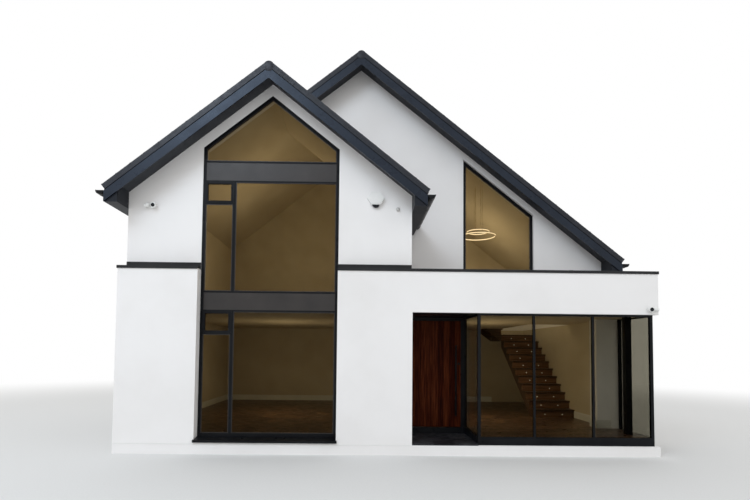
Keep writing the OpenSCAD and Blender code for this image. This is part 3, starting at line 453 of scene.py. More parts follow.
verge_black = coat("verge_black", (0.008, 0.010, 0.016), (0.017, 0.020, 0.029), (6.0, 5.0),
                   (220.0, 0.0006), wear=(14.0, 3.0, 0.30, 0.48), rough=0.38, shine=0.35)
bm = bmesh.new()
verge_run(bm, left_slope, -WING_VERGE, 1, left_foot, wing_top + TOP_U)
verge_run(bm, wing_slope, WING_VERGE, -1, wing_foot, TOP_U)
verge_run(bm, left_slope, -MAIN_VERGE, 1, left_foot, TOP_U, bottom=wing_top - 0.10)
verge_run(bm, right_slope, MAIN_VERGE, -1, right_foot, TOP_U)
verge_run(bm, left_slope, -BACK_VERGE, -1, left_foot, TOP_U)
verge_run(bm, right_slope, BACK_VERGE, 1, right_foot, TOP_U)
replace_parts(piece("verge_units", bm, verge_black), "verge_strips")

# The ridge ends: round caps of the verges' black polymer, pressed over the last ridge
# tile above each gable, with a smaller button in the middle.
CAP_R, BUTTON_R, CAP_DROP = 0.100, 0.080, 0.101
GABLES = ((WING_RIDGE, WING_VERGE, 0.03), (MAIN_RIDGE, MAIN_VERGE, 0.03),
          (MAIN_RIDGE, BACK_VERGE, -0.03))


def rod(bm, start, end, radius, segments=12, ease=0.0):
    """A round bar between two points, its end rims eased."""
    start, end = Vector(start), Vector(end)
    made = bmesh.ops.create_cone(
        bm, cap_ends=True, segments=segments, radius1=radius, radius2=radius,
        depth=(end - start).length, matrix=Matrix.Translation((start + end) / 2)
        @ (end - start).to_track_quat("Z", "Y").to_matrix().to_4x4())["verts"]
    if ease:
        rims = [e for e in {e for v in made for e in v.link_edges}
                if any(len(f.verts) == segments for f in e.link_faces)]
        bmesh.ops.bevel(bm, geom=rims, offset=ease, segments=2, profile=0.5,
                        affect="EDGES", material=-1)


bm = bmesh.new()
for ridge, front, depth in GABLES:
    z = ridge[1] - CAP_DROP
    rod(bm, (ridge[0], front - depth / 4, z), (ridge[0], front + depth, z), CAP_R, 32, 0.008)
    rod(bm, (ridge[0], front - depth / 3, z), (ridge[0], front, z), BUTTON_R, 32, 0.002)
piece("ridge_ends", bm, verge_black, smooth=35)

# The barge boards: folded aluminium, powder coated in a blue-grey satin and screwed to
# the rafter ends, with a seam plate where two boards meet under a ridge.
BARGE_TOP, BARGE_FOOT = 0.1 / SLANT, 0.254 / SLANT
SEAM_HALF, SEAM_T = 0.03, 0.0015


def about(middle, half):
    """The span that reaches half to either side of a middle."""
    return middle - half, middle + half


satin_grey = coat("satin_grey", (0.0065, 0.0085, 0.014), (0.0120, 0.0155, 0.024), (1.6, 6.0),
                  (1.3, 0.002), (400.0, 0.0003), wear=(5.0, 4.0, 0.24, 0.36), rough=0.3,
                  shine=0.35, Specular_Tint=(0.70, 0.82, 1.0, 1.0))
dress(satin_grey, "barge_boards")
bm = bmesh.new()
for ridge, front, depth in GABLES:
    proud = math.copysign(SEAM_T, -depth)
    box(bm, about(ridge[0], SEAM_HALF), (front, front + proud),
        (ridge[1] - BARGE_FOOT - 0.012, ridge[1] - BARGE_TOP - 0.03), 0.0006)
piece("apex_plates", bm, satin_grey)

# The eave boxes: folded boards of the same metal under the ends of the rafters, their colour
# darkened as painted shade for the shadow under the eaves. A cut sheet closes each box behind the
# verge and is riveted in.
EAVE_OUT, CLOSE_IN, CLOSE_T = 0.24, 0.030, 0.010
EAVES = [(-1, -EAVE_X, SPRING_Z - EAVE_OUT * RISE, WING_VERGE, BACK_VERGE),
         (1, WING_EAVE_X, SPRING_Z - EAVE_OUT * RISE, WING_VERGE, GABLE_FACE),
         (1, EAVE_X, MAIN_RIDGE[1] - (EAVE_X - MAIN_RIDGE[0]) * RISE, MAIN_VERGE, BACK_VERGE)]
painted_shade_soffit = coat("painted_shade_soffit", (0.007, 0.009, 0.014), (0.014, 0.017, 0.023), (1.1, 5.0),
                   (150.0, 0.0006), rough=0.5, shine=0.2)
dress(painted_shade_soffit, "eave_boards")


def upright_sheet(bm, outline, front, back):
    """A sheet of an outline of (x, z) points between two places along Y."""
    pull(bm, [flat(bm, [(x, front, z) for x, z in outline])], (0, back - front, 0))


bm = bmesh.new()
for side, board, line, y0, y1 in EAVES:
    foot, wall = line - BARGE_FOOT, board - side * EAVE_OUT
    corners = [(board, foot), (wall, foot), (wall, foot + EAVE_OUT * RISE)]
    upright_sheet(bm, corners, y0 + CLOSE_IN, y0 + CLOSE_IN + CLOSE_T)
    if y1 == BACK_VERGE:
        upright_sheet(bm, corners, y1 - CLOSE_IN, y1 - CLOSE_IN - CLOSE_T)
piece("eave_ends", bm, painted_shade_soffit)

# The gutters: half-round black steel on strap brackets, with a rolled front bead and a
# union where two lengths join.
GUTTER_R, RIM_DROP, BEAD_R, BRACKET_GAP, END_IN = 0.075, 0.12, 0.006, 0.75, 0.12
STRAP_W, STRAP_T, UNION_W, UNION_T, UNION_ON = 0.025, 0.003, 0.09, 0.002, 0.3
# The same black also goes on the entrance's soffit further down, as painted shade for its recess.
black_coat_and_porch_shade = coat("black_coat_and_porch_shade", (0.0035, 0.0040, 0.0052), (0.0080, 0.0088, 0.0105),
                  (2.2, 6.0), (420.0, 0.0003), wear=(7.0, 4.0, 0.26, 0.42), rough=0.30,
                  shine=0.12)
dress(black_coat_and_porch_shade, "gutters", "downpipes")


def strap(bm, centre, side, wide, thick):
    """A strap under a gutter, from the eave board round to near its front edge."""
    corners = ((0, -wide / 2), (0, wide / 2), (thick, wide / 2), (thick, -wide / 2))
    sweep(bm, [centre + Vector((-side * (GUTTER_R + out), y, 0)) for out, y in corners],
          centre, -side * math.radians(155), 14)


bm = bmesh.new()
for side, board, line, y0, y1 in EAVES:
    axis = Vector((board + side * GUTTER_R, 0, line - RIM_DROP))
    outer = axis.x + side * (GUTTER_R - BEAD_R)
    rod(bm, (outer, y0, axis.z), (outer, y1, axis.z), BEAD_R, 10)
    count = math.ceil((y1 - y0) / BRACKET_GAP)
    for k in range(count):
        y = y0 + END_IN + k * (y1 - y0 - 2 * END_IN) / (count - 1)
        strap(bm, axis + Vector((0, y, 0)), side, STRAP_W, STRAP_T)
        box(bm, (board, outer), about(y, STRAP_W / 2), (axis.z + 0.002, axis.z + 0.006), 0.001)
        if k % 4 == 2 and y < y1 - 0.5:
            strap(bm, axis + Vector((0, y + UNION_ON, 0)), side, UNION_W, UNION_T)
piece("gutter_brackets", bm, black_coat_and_porch_shade, smooth=35)

# The downpipes' fittings: an outlet under each gutter, a collar at every joint and a
# pair of lugs with screws at each clip.
PIPE_Y, PIPE_X, PIPE_R, CLIPS_Z = 3.15, 5.176, 0.034, (0.42, 1.735, 3.12)
OUTLET_R, FUNNEL_R, COLLAR_T, COLLAR_EASE = 0.040, 0.052, 0.005, 0.003
LUG_OUT, LUG_UP, LUG_R, SHOE_Z = 0.041, 0.015, 0.006, (0.070, 0.10)
bm = bmesh.new()
for side, board, line, *_ in (EAVES[0], EAVES[2]):
    x, sole = board + side * GUTTER_R, line - RIM_DROP - GUTTER_R
    bmesh.ops.create_cone(bm, cap_ends=True, segments=24, radius1=OUTLET_R,
                          radius2=FUNNEL_R, depth=0.05,
                          matrix=Matrix.Translation((x, PIPE_Y, sole - 0.02)))
    rod(bm, (x, PIPE_Y, sole - 0.085), (x, PIPE_Y, sole - 0.045), OUTLET_R, 24, COLLAR_EASE)
    for z in CLIPS_Z:
        rod(bm, (side * PIPE_X, PIPE_Y, z + 0.04), (side * PIPE_X, PIPE_Y, z + 0.10),
            PIPE_R + COLLAR_T, 24, COLLAR_EASE)
        for y in about(PIPE_Y, LUG_OUT):
            rod(bm, (side * (PIPE_X - 0.02), y, z + LUG_UP),
                (side * (PIPE_X + 0.012), y, z + LUG_UP), LUG_R, 8)
    rod(bm, (side * PIPE_X, PIPE_Y, SHOE_Z[0]), (side * PIPE_X, PIPE_Y, SHOE_Z[1]),
        PIPE_R + 0.004, 24, COLLAR_EASE)
piece("pipe_fittings", bm, black_coat_and_porch_shade, smooth=35)

# The ledge copings: folded dark grey aluminium on clips, with a drip along the outer edge
# and a saddle riveted down over each joint.
LEDGE_Z, COPE_T, COPE_X, COPE_Y0, COPE_Y1 = 3.47, 0.04, 5.135, -3.615, 3.615
TALL_X0, TALL_X1 = -3.62, -0.98
DRIP_T, SADDLE_HALF, SADDLE_IN, LIP = 0.004, 0.04, 0.09, 0.002
DRIP_Z = (LEDGE_Z - 0.014, LEDGE_Z + 0.001)
SADDLE_Z = (LEDGE_Z - 0.014, LEDGE_Z + COPE_T + LIP)
FRONT_JOINTS = ((-4.37, 0.20), (-0.27, 0.20), (1.85, 0.33), (3.45, 0.33))
SIDE_JOINTS, BACK_JOINTS = (-2.2, -0.6, 1.0, 2.6), (-3.4, -1.7, 0.0, 1.7, 3.4)
dark_metal = coat("dark_metal", (0.014, 0.0145, 0.016), (0.025, 0.0255, 0.027), (1.4, 6.0),
                  (0.9, 0.003), (350.0, 0.0003), wear=(6.0, 4.0, 0.30, 0.50), rough=0.36,
                  shine=0.2)
dress(dark_metal, "ledge_coping")
bm = bmesh.new()
for x, y in (((-COPE_X, TALL_X0), (COPE_Y0, COPE_Y0 + DRIP_T)),
             ((TALL_X1, COPE_X), (COPE_Y0, COPE_Y0 + DRIP_T)),
             ((-COPE_X, COPE_X), (COPE_Y1 - DRIP_T, COPE_Y1)),
             ((-COPE_X, DRIP_T - COPE_X), (COPE_Y0, COPE_Y1)),
             ((COPE_X - DRIP_T, COPE_X), (COPE_Y0, COPE_Y1))):
    box(bm, x, y, DRIP_Z)
saddles = [(about(x, SADDLE_HALF), (COPE_Y0 - LIP, COPE_Y0 + deep))
           for x, deep in FRONT_JOINTS]
saddles += [((side * (COPE_X + LIP), side * (COPE_X - SADDLE_IN)), about(y, SADDLE_HALF))
            for side in (-1, 1) for y in SIDE_JOINTS]
saddles += [(about(x, SADDLE_HALF), (COPE_Y1 - SADDLE_IN, COPE_Y1 + LIP))
            for x in BACK_JOINTS]
for x, y in saddles:
    box(bm, x, y, SADDLE_Z, LIP / 2)
piece("coping_trims", bm, dark_metal)

# The window frames, the glass room's posts and base, the steel column and the door's
# frame: black powder-coated metal, screwed into the wall or the floor.
dress(black_coat_and_porch_shade, "tall_window_frame", "sloping_window_frame", "other_window_frames",
      "window_sill", "glass_room_front", "glass_room_sides", "glass_room_base",
      "steel_column", "door_frame", "door_threshold")

# The dark panels between the storeys and the glazing beads round the large panes: folded
# aluminium, powder coated in a bronze black, the beads mitred and clipped in.
LIGHT_L, LIGHT_R, BAR_L, BAR_R = -3.562, -1.038, -3.037, -2.983
STOREYS = [(0.358, 2.673), (3.066, 5.194)]
SASH_H, BAR_H, BEAD_W = 0.41, 0.027, 0.014
WING_BEAD, GABLE_BEAD = (-3.384, -3.366), (-1.484, -1.466)
GABLE = [(LIGHT_L, 5.607), (LIGHT_R, 5.607), (LIGHT_R, 5.842), (-2.30, 6.846),
         (LIGHT_L, 5.842)]
SLOPED = [(1.891, 3.678), (3.410, 3.678), (3.410, 8.7056 - 3.98 * RISE - 0.429),
          (1.891, 8.7056 - 2.461 * RISE - 0.429)]


def edging(bm, corners, wide, front, back, across=False):
    """A mitred frame just inside an outline of (x, z), or (y, z) across the house."""
    turn = (lambda a, b, c: (b, a, c)) if across else (lambda a, b, c: (a, b, c))
    face = flat(bm, [turn(a, front, c) for a, c in corners])
    face.normal_update()
    rim = bmesh.ops.inset_region(bm, faces=[face], thickness=wide, use_boundary=True,
                                 use_even_offset=True)["faces"]
    bmesh.ops.delete(bm, geom=[face], context="FACES_ONLY")
    pull(bm, rim, turn(0, back - front, 0))


def oblong(a0, a1, z0, z1, inset=0.0):
    """The corners of an upright rectangle, all drawn in by an inset."""
    a0, a1, z0, z1 = a0 + inset, a1 - inset, z0 + inset, z1 - inset
    return [(a0, z0), (a1, z0), (a1, z1), (a0, z1)]


bronze = coat("bronze", (0.013, 0.0105, 0.0095), (0.024, 0.019, 0.017), (1.8, 5.0),
              (1.2, 0.002), (380.0, 0.0003), wear=(5.0, 4.0, 0.28, 0.42), rough=0.34,
              shine=0.45)
dress(bronze, "dark_panels")
bm = bmesh.new()
for z0, z1 in STOREYS:
    edging(bm, oblong(BAR_R, LIGHT_R, z0, z1), BEAD_W, *WING_BEAD)
    edging(bm, oblong(LIGHT_L, BAR_L, z0, z1 - SASH_H - BAR_H), BEAD_W, *WING_BEAD)
edging(bm, GABLE, BEAD_W, *WING_BEAD)
edging(bm, SLOPED, BEAD_W, *GABLE_BEAD)
piece("glazing_beads", bm, bronze)

# The two small top-hung lights: sashes of the frames' black metal, a little proud of
# them, with a rubber rebate round the pane and a handle inside at the foot.
SASH_OVER, SASH_W, REBATE_IN, REBATE_W = 0.012, 0.046, 0.032, 0.010
SASH_Y, REBATE_Y, HANDLE_Y = (-3.400, -3.388), (-3.392, -3.366), (-3.320, -3.306)
HANDLE_X, HANDLE_HALF = (LIGHT_L + BAR_L) / 2, 0.05
bm = bmesh.new()
for z0, z1 in STOREYS:
    foot = z1 - SASH_H
    edging(bm, oblong(LIGHT_L - SASH_OVER, BAR_L + SASH_OVER, foot - 0.004, z1 + SASH_OVER),
           SASH_W, *SASH_Y)
    edging(bm, oblong(LIGHT_L, BAR_L, foot, z1, REBATE_IN), REBATE_W, *REBATE_Y)
    box(bm, about(HANDLE_X, HANDLE_HALF), HANDLE_Y, (foot + 0.006, foot + 0.026), 0.002)
piece("top_sashes", bm, black_coat_and_porch_shade)

# The plain windows' trims: glazing beads all round, a thin rim over the joint with the
# wall, and a folded sill screwed down under each one.
BACK_WINDOWS, SIDE_WINDOW = [(-1.07, -0.07), (1.43, 2.43)], (-1.75, -0.75)
BACK_Z, SIDE_Z, WINDOW_H, BEAD_IN, RIM_IN, RIM_W = 3.975, 1.245, 1.15, 0.058, 0.02, 0.030
GARDEN_LIGHTS = [(-0.942, -0.2167), (-0.1627, 0.5626), (0.6166, 1.342)]
GARDEN_Z, GARDEN_RIM_W = (0.403, 2.437), 0.028
SILL_OVER, SILL_Z, SILL_EASE = 0.02, (-0.018, 0.008), 0.003


def trim(bm, window, foot, bead, rim, across=False):
    """The beads and the rim of a plain window, each between two planes of its wall."""
    for inset, wide, planes in ((BEAD_IN, BEAD_W, bead), (RIM_IN, RIM_W, rim)):
        edging(bm, oblong(*window, foot, foot + WINDOW_H, inset), wide, *planes, across)


bm = bmesh.new()
for window in BACK_WINDOWS:
    trim(bm, window, BACK_Z, (3.454, 3.438), (3.468, 3.456))
    box(bm, (window[0] - SILL_OVER, window[1] + SILL_OVER), (3.46, 3.575),
        (BACK_Z + SILL_Z[0], BACK_Z + SILL_Z[1]), SILL_EASE)
trim(bm, SIDE_WINDOW, SIDE_Z, (-5.054, -5.038), (-5.068, -5.056), across=True)
box(bm, (-5.165, -5.06), (SIDE_WINDOW[0] - SILL_OVER, SIDE_WINDOW[1] + SILL_OVER),
    (SIDE_Z + SILL_Z[0], SIDE_Z + SILL_Z[1]), SILL_EASE)
for light in GARDEN_LIGHTS:
    edging(bm, oblong(*light, *GARDEN_Z), BEAD_W, 3.534, 3.518)
    edging(bm, oblong(*light, *GARDEN_Z, -RIM_IN), GARDEN_RIM_W, 3.546, 3.536)
box(bm, (-1.02, 1.42), (3.54, 3.64), (0.322, 0.350), SILL_EASE)
piece("window_trims", bm, black_coat_and_porch_shade)

# The glass: sealed double glazing with a light grey body tint, held in rubber. The soft
# light passes the panes by, so that its picture lays no grain on them.
pane = bpy.data.materials.new("window_pane")
pane.use_nodes = True
tree = pane.node_tree
tree.nodes.remove(tree.nodes["Principled BSDF"])
edge_on = add(tree, "LayerWeight", {"Blend": 0.5}).outputs["Facing"]
grazing = add(tree, "Math", {0: edge_on, 1: 5.0}, operation="POWER").outputs[0]
mirrored = add(tree, "MapRange", {"Value": grazing, "From Min": 0.05, "To Max": 0.90}
               ).outputs["Result"]
wave = add(tree, "Bump", {"Height": noise(pane, 0.9, 1.0), "Distance": 0.004,
                          "Strength": 1.0}).outputs["Normal"]
body = add(tree, "ValToRGB", {"Fac": noise(pane, 3.0, 5.0)})
body.color_ramp.elements[0].color = (0.62, 0.61, 0.57, 1)
body.color_ramp.elements[1].color = (0.67, 0.66, 0.62, 1)
glaze = add(tree, "MixShader", {
    0: mirrored,
    1: add(tree, "BsdfTransparent", {"Color": body.outputs["Color"]}).outputs[0],
    2: add(tree, "BsdfGlossy", {"Color": WHITE, "Roughness": 0.01, "Normal": wave}
           ).outputs[0]})
tree.links.new(glaze.outputs[0], tree.nodes["Material Output"].inputs["Surface"])
dress(pane, "window_glass")
passed_by = bpy.data.collections.new("panes")
passed_by.objects.link(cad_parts["window_glass"])
passed_by.collection_objects[0].light_linking.link_state = "EXCLUDE"
soft_light.light_linking.receiver_collection = passed_by

# The entrance's slates: riven dark slabs on a mortar bed, with narrow joints, laid in
# rows that start half a slab in.
PORCH_X0, PORCH_X1, PORCH_Y0, PORCH_Y1 = 0.44, 1.69, -3.6, -2.35
SLATE_W, SLATE_D, SLATE_T, SLATE_Z, MORTAR_Z = 0.4167, 0.3125, 0.028, 0.192, (0.19, 0.212)
slate = finish("slate", rough=0.42, shine=0.15)
colour(slate, toned(slate, noise(slate, 5.0, 7.0)), (0.45, (0.007, 0.008, 0.010)),
       (0.85, (0.017, 0.018, 0.022)), (1.0, (0.030, 0.031, 0.035)))
roughen(slate, noise(slate, 8.0, 4.0), 0.35, 0.60)
relief(slate, (noise(slate, 14.0, 6.0), 0.004), (noise(slate, 120.0), 0.0006))
slab_bm = bmesh.new()
box(slab_bm, (0.002, 0.998), (0.004, 0.996), (0, SLATE_T), 0.0015)
slab = pattern(slab_bm)
bm = bmesh.new()
box(bm, (PORCH_X0, PORCH_X1), (PORCH_Y0 + 0.002, PORCH_Y1), MORTAR_Z)
for row in range(4):
    for column in range(3):
        start = PORCH_X0 + (column - 0.5 * (row % 2)) * SLATE_W
        x0, x1 = max(start, PORCH_X0), start + SLATE_W if column < 2 else PORCH_X1
        lay(bm, slab, fit((x0, PORCH_Y0 + row * SLATE_D, SLATE_Z + rng.uniform(-SLIP, 0)),
                          x1 - x0, SLATE_D, 1), rng.random())
bpy.data.meshes.remove(slab)
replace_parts(piece("porch_slates", bm, slate), "porch_floor")

# The front door: upright mahogany boards with eased edges, glued on a flush leaf of the
# same timber and oiled dark.
DOOR_X0, DOOR_X1, DOOR_Z0, DOOR_Z1, DOOR_Y = 0.520, 1.610, 0.356, 2.600, -2.332
BOARDS, BOARD_T, JOINT = 9, 0.010, 0.0006
mahogany = finish("mahogany", rough=0.38, shine=0.02)
grain = noise(mahogany, 3.0, 8.0, (18.0, 18.0, 0.9))
colour(mahogany, toned(mahogany, grain), (0.45, (0.011, 0.0017, 0.0008)),
       (0.75, (0.043, 0.0072, 0.0026)), (1.0, (0.100, 0.024, 0.0078)))
roughen(mahogany, grain, 0.28, 0.46)
relief(mahogany, (grain, 0.0012), (noise(mahogany, 60.0, 6.0, (6.0, 6.0, 0.3)), 0.0005))
dress(mahogany, "door_leaf")
bm = bmesh.new()
wide = (DOOR_X1 - DOOR_X0) / BOARDS
for k in range(BOARDS):
    board_bm = bmesh.new()
    box(board_bm, (DOOR_X0 + k * wide + JOINT, DOOR_X0 + (k + 1) * wide - JOINT),
        (DOOR_Y - BOARD_T, DOOR_Y + 0.001), (DOOR_Z0, DOOR_Z1), 0.0035)
    board = pattern(board_bm)
    lay(bm, board, Matrix.Identity(4), 0.12 + 0.28 * rng.random())
    bpy.data.meshes.remove(board)
piece("door_boards", bm, mahogany, body="front_door")

# The door's furniture: a long round bar on two stand-offs with roses, and a round lock
# plate with its cylinder, all black.
BAR_X, BAR_Y, BAR_Z0, BAR_Z1, LOCK_X, LOCK_Z = 1.500, -2.392, 0.586, 2.086, 1.570, 1.690
HANDLE_R, STAND_IN, STAND_R, ROSE_R = 0.017, 0.22, 0.0085, 0.019
LOCK_R, CYLINDER_R, KEY_HALF_W, KEY_HALF_H = 0.024, 0.0095, 0.0015, 0.006
FACE_Y = DOOR_Y - BOARD_T
bm = bmesh.new()
rod(bm, (BAR_X, BAR_Y, BAR_Z0), (BAR_X, BAR_Y, BAR_Z1), HANDLE_R, 32, 0.004)
for z in (BAR_Z0 + STAND_IN, BAR_Z1 - STAND_IN):
    rod(bm, (BAR_X, FACE_Y, z), (BAR_X, BAR_Y, z), STAND_R, 20)
    rod(bm, (BAR_X, FACE_Y + 0.001, z), (BAR_X, FACE_Y - 0.007, z), ROSE_R, 28, 0.002)
rod(bm, (LOCK_X, FACE_Y + 0.001, LOCK_Z), (LOCK_X, FACE_Y - 0.009, LOCK_Z), LOCK_R, 32,
    0.003)
rod(bm, (LOCK_X, FACE_Y - 0.008, LOCK_Z), (LOCK_X, FACE_Y - 0.014, LOCK_Z), CYLINDER_R, 24,
    0.001)
box(bm, about(LOCK_X, KEY_HALF_W), (FACE_Y - 0.0155, FACE_Y - 0.013),
    about(LOCK_Z, KEY_HALF_H))
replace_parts(piece("door_handle", bm, black_coat_and_porch_shade, body="front_door",
                  smooth=35), "door_furniture")

# The door's hinge sleeves: short black steel tubes screwed to the leaf's edge, that turn
# on the pins of the frame.
HINGE_X, HINGE_Y, HINGES_Z = 0.504, -2.254, (0.601, 1.4815, 2.362)
SLEEVE_R, SLEEVE_HALF = 0.0114, 0.0175
bm = bmesh.new()
for z in HINGES_Z:
    rod(bm, (HINGE_X, HINGE_Y, z - SLEEVE_HALF), (HINGE_X, HINGE_Y, z + SLEEVE_HALF),
        SLEEVE_R, 24)
piece("hinge_sleeves", bm, black_coat_and_porch_shade, body="front_door", smooth=35)

# The rooms' own light: a soft warm lamp in the middle of each room, just enough to show
# the stair, the floors and the walls through the glass.
ROOM_LAMPS = (("living_lamp", (-2.4, -0.3, 1.4), 50.0), ("hall_lamp", (2.4, -0.9, 1.4), 62.0),
              ("bedroom_lamp", (-2.3, -0.6, 4.7), 110.0),
              ("landing_lamp", (2.3, 0.9, 4.4), 110.0))
for name, at, energy in ROOM_LAMPS:
    lamp_data = bpy.data.lights.new(name, "POINT")
    lamp_data.energy = energy
    lamp_data.color = (1.0, 0.83, 0.54)
    lamp_data.shadow_soft_size = 0.5
    lamp = show(bpy.data.objects.new(name, lamp_data))
    lamp.location = at
    lamp.visible_camera = lamp.visible_glossy = False

# The rooms' linings: skimmed plasterboard, 12.5 mm thick, on every wall and ceiling that
# shows through the glass, painted a warm cream.
IN_X, IN_Y, UP_X, UP_FRONT, UP_BACK, MAIN_IN = 4.82, 3.30, 4.74, -3.10, 3.22, -1.25
FLOOR_Z, HEAD_Z, FIRST_Z, ENTRY_IN, BOARD = 0.345, 2.68, 3.075, -2.27, 0.0125
PORCH_IN, PIER_Y, GARDEN_L, GARDEN_R, GARDEN_TOP = 0.14, -2.05, -1.0, 1.4, 2.495
GLASS_L, GLASS_R, GLASS_Y = 1.75, 4.98, -3.48
WELL_L, WELL_Y, STAIR_L, LANDING_Y, ROOF_T = 3.24, -0.28, 3.78, 2.15, 0.145
ROOM, CEILING = (FLOOR_Z, HEAD_Z - BOARD), (HEAD_Z - BOARD, HEAD_Z)
LEFT, RIGHT = (-IN_X, BOARD - IN_X), (IN_X - BOARD, IN_X)
FRONT, BACK = (-IN_Y, BOARD - IN_Y), (IN_Y - BOARD, IN_Y)
cream_paint = coat("cream_paint", (0.52, 0.45, 0.34), (0.60, 0.53, 0.41), (0.8, 5.0),
                   (3.0, 0.002, 2.0), (260.0, 0.0006), rough=0.75, shine=0.25)


def roof_under(x):
    """Height of the main roof's inner side over a place across the house."""
    return MAIN_RIDGE[1] - abs(x - MAIN_RIDGE[0]) * RISE - ROOF_T / SLANT


bm = bmesh.new()
for spans in (
        ((-IN_X, GARDEN_L), BACK, ROOM), ((GARDEN_R, IN_X), BACK, ROOM),
        ((GARDEN_L, GARDEN_R), BACK, (GARDEN_TOP, ROOM[1])),
        (LEFT, (-IN_Y, SIDE_WINDOW[0]), ROOM), (LEFT, (SIDE_WINDOW[1], IN_Y), ROOM),
        (LEFT, SIDE_WINDOW, (FLOOR_Z, SIDE_Z)),
        (LEFT, SIDE_WINDOW, (SIDE_Z + WINDOW_H, ROOM[1])),
        (RIGHT, (PIER_Y, IN_Y), ROOM),
        ((-IN_X, TALL_X0), FRONT, ROOM), ((TALL_X1, PORCH_IN), FRONT, ROOM),
        ((PORCH_IN - BOARD, PORCH_IN), (-IN_Y, ENTRY_IN), ROOM),
        ((PORCH_IN - BOARD, PORCH_X0), (ENTRY_IN, ENTRY_IN + BOARD), ROOM),
        ((-IN_X, PORCH_IN), (-IN_Y, ENTRY_IN), CEILING),
        ((-IN_X, WELL_L), (ENTRY_IN, IN_Y), CEILING),
        ((WELL_L, STAIR_L), (ENTRY_IN, LANDING_Y), CEILING),
        ((STAIR_L, IN_X), (ENTRY_IN, WELL_Y), CEILING),
        ((GLASS_L, GLASS_R), (GLASS_Y, ENTRY_IN), CEILING),
        ((-UP_X, BOARD - UP_X), (UP_FRONT, UP_BACK), (FIRST_Z, roof_under(-UP_X))),
        ((UP_X - BOARD, UP_X), (MAIN_IN, UP_BACK), (FIRST_Z, roof_under(UP_X)))):
    box(bm, *spans)
edges = (-UP_X, *BACK_WINDOWS[0], *BACK_WINDOWS[1], UP_X)
for k, (x0, x1) in enumerate(zip(edges, edges[1:])):
    round_window = ((FIRST_Z, BACK_Z), (BACK_Z + WINDOW_H, None))
    for z0, z1 in round_window if k % 2 else ((FIRST_Z, None),):
        upright_sheet(bm, [(x0, z0), (x1, z0), (x1, z1 or roof_under(x1)),
                           (x0, z1 or roof_under(x0))], UP_BACK, UP_BACK - BOARD)
for slope, u, v in ((left_slope, (0.1, 5.45), (-UP_BACK, -MAIN_IN)),
                    (left_slope, (wing_top, 5.45), (-MAIN_IN, -UP_FRONT)),
                    (wing_slope, (0.1, 3.24), (UP_FRONT, MAIN_IN)),
                    (right_slope, (0.1, 6.90), (MAIN_IN, UP_BACK))):
    box(bm, u, v, (-ROOF_T - BOARD, -ROOF_T - 0.0005), place=slope)
piece("room_linings", bm, cream_paint)

# The skirting boards: moulded softwood, white satin paint, pinned round the rooms and
# the pier beside the glass room.
SKIRT_H, PIER_SKIRT_H, SKIRT_T, MOULD_H, MOULD_IN = 0.165, 0.18, 0.015, 0.018, 0.004
LINED_X, LINED_Y, REVEAL = IN_X - BOARD, IN_Y - BOARD, 0.02
PIER_X, PIER_FRONT, STRING_Y = 4.52, -2.35, -0.58
satin_white = coat("satin_white", (0.66, 0.65, 0.60), (0.74, 0.73, 0.68), (2.5, 4.0),
                   (30.0, 0.0004), rough=0.35, shine=0.5)
bm = bmesh.new()
for x, y, high in (
        ((-LINED_X, GARDEN_L - REVEAL), (LINED_Y - SKIRT_T, LINED_Y), SKIRT_H),
        ((GARDEN_R + REVEAL, STAIR_L), (LINED_Y - SKIRT_T, LINED_Y), SKIRT_H),
        ((-LINED_X, SKIRT_T - LINED_X), (-LINED_Y, LINED_Y - SKIRT_T), SKIRT_H),
        ((LINED_X - SKIRT_T, LINED_X), (PIER_Y, STRING_Y), SKIRT_H),
        ((-LINED_X, TALL_X0 - REVEAL), (-LINED_Y, SKIRT_T - LINED_Y), SKIRT_H),
        ((TALL_X1 + REVEAL, PORCH_IN - BOARD), (-LINED_Y, SKIRT_T - LINED_Y), SKIRT_H),
        ((PIER_X - SKIRT_T, IN_X), (PIER_FRONT - SKIRT_T, PIER_FRONT), PIER_SKIRT_H),
        ((PIER_X - SKIRT_T, PIER_X), (PIER_FRONT - SKIRT_T, PIER_Y + SKIRT_T), PIER_SKIRT_H),
        ((PIER_X - SKIRT_T, IN_X), (PIER_Y, PIER_Y + SKIRT_T), PIER_SKIRT_H)):
    top = FLOOR_Z + high
    box(bm, x, y, (FLOOR_Z, top - MOULD_H), 0.001)
    box(bm, (x[0] + MOULD_IN, x[1] - MOULD_IN), (y[0] + MOULD_IN, y[1] - MOULD_IN),
        (top - MOULD_H - 0.001, top), 0.003)
piece("skirting_boards", bm, satin_white)

# The floors: smoked oak blocks in a herringbone with a border of planks at the windows,
# bedded on screed and lacquered.
BLOCK_W, BLOCK_T, PLANK_W, PLANK_T, SUNK = 0.09, 0.004, 0.14, 0.007, 0.002
BLOCK_L = 5 * BLOCK_W
BORDERS = ((GLASS_L, GLASS_R, GLASS_Y, 8), (1.72, 4.81, -2.36, 4), (-4.81, 0.13, -3.32, 2))
HALL_X, HALL_Y, LIVING_Y = 0.3, -1.9, -3.1
smoked_oak = finish("smoked_oak", rough=0.35, shine=0.5)
colour(smoked_oak, toned(smoked_oak, noise(smoked_oak, 22.0, 8.0)),
       (0.45, (0.036, 0.018, 0.012)), (0.75, (0.088, 0.046, 0.028)),
       (1.0, (0.190, 0.112, 0.066)))
roughen(smoked_oak, noise(smoked_oak, 6.0), 0.25, 0.42)
relief(smoked_oak, (noise(smoked_oak, 90.0, 6.0), 0.0006))
dress(smoked_oak, "ground_floor", "first_floor")
block_bm = bmesh.new()
box(block_bm, (JOINT, BLOCK_L - JOINT), (JOINT, BLOCK_W - JOINT), (0, BLOCK_T), 0.001)
block = pattern(block_bm)
bm = bmesh.new()
turned = Matrix.Rotation(math.pi / 4, 4, "Z")
quarter = Matrix.Rotation(math.pi / 2, 4, "Z")
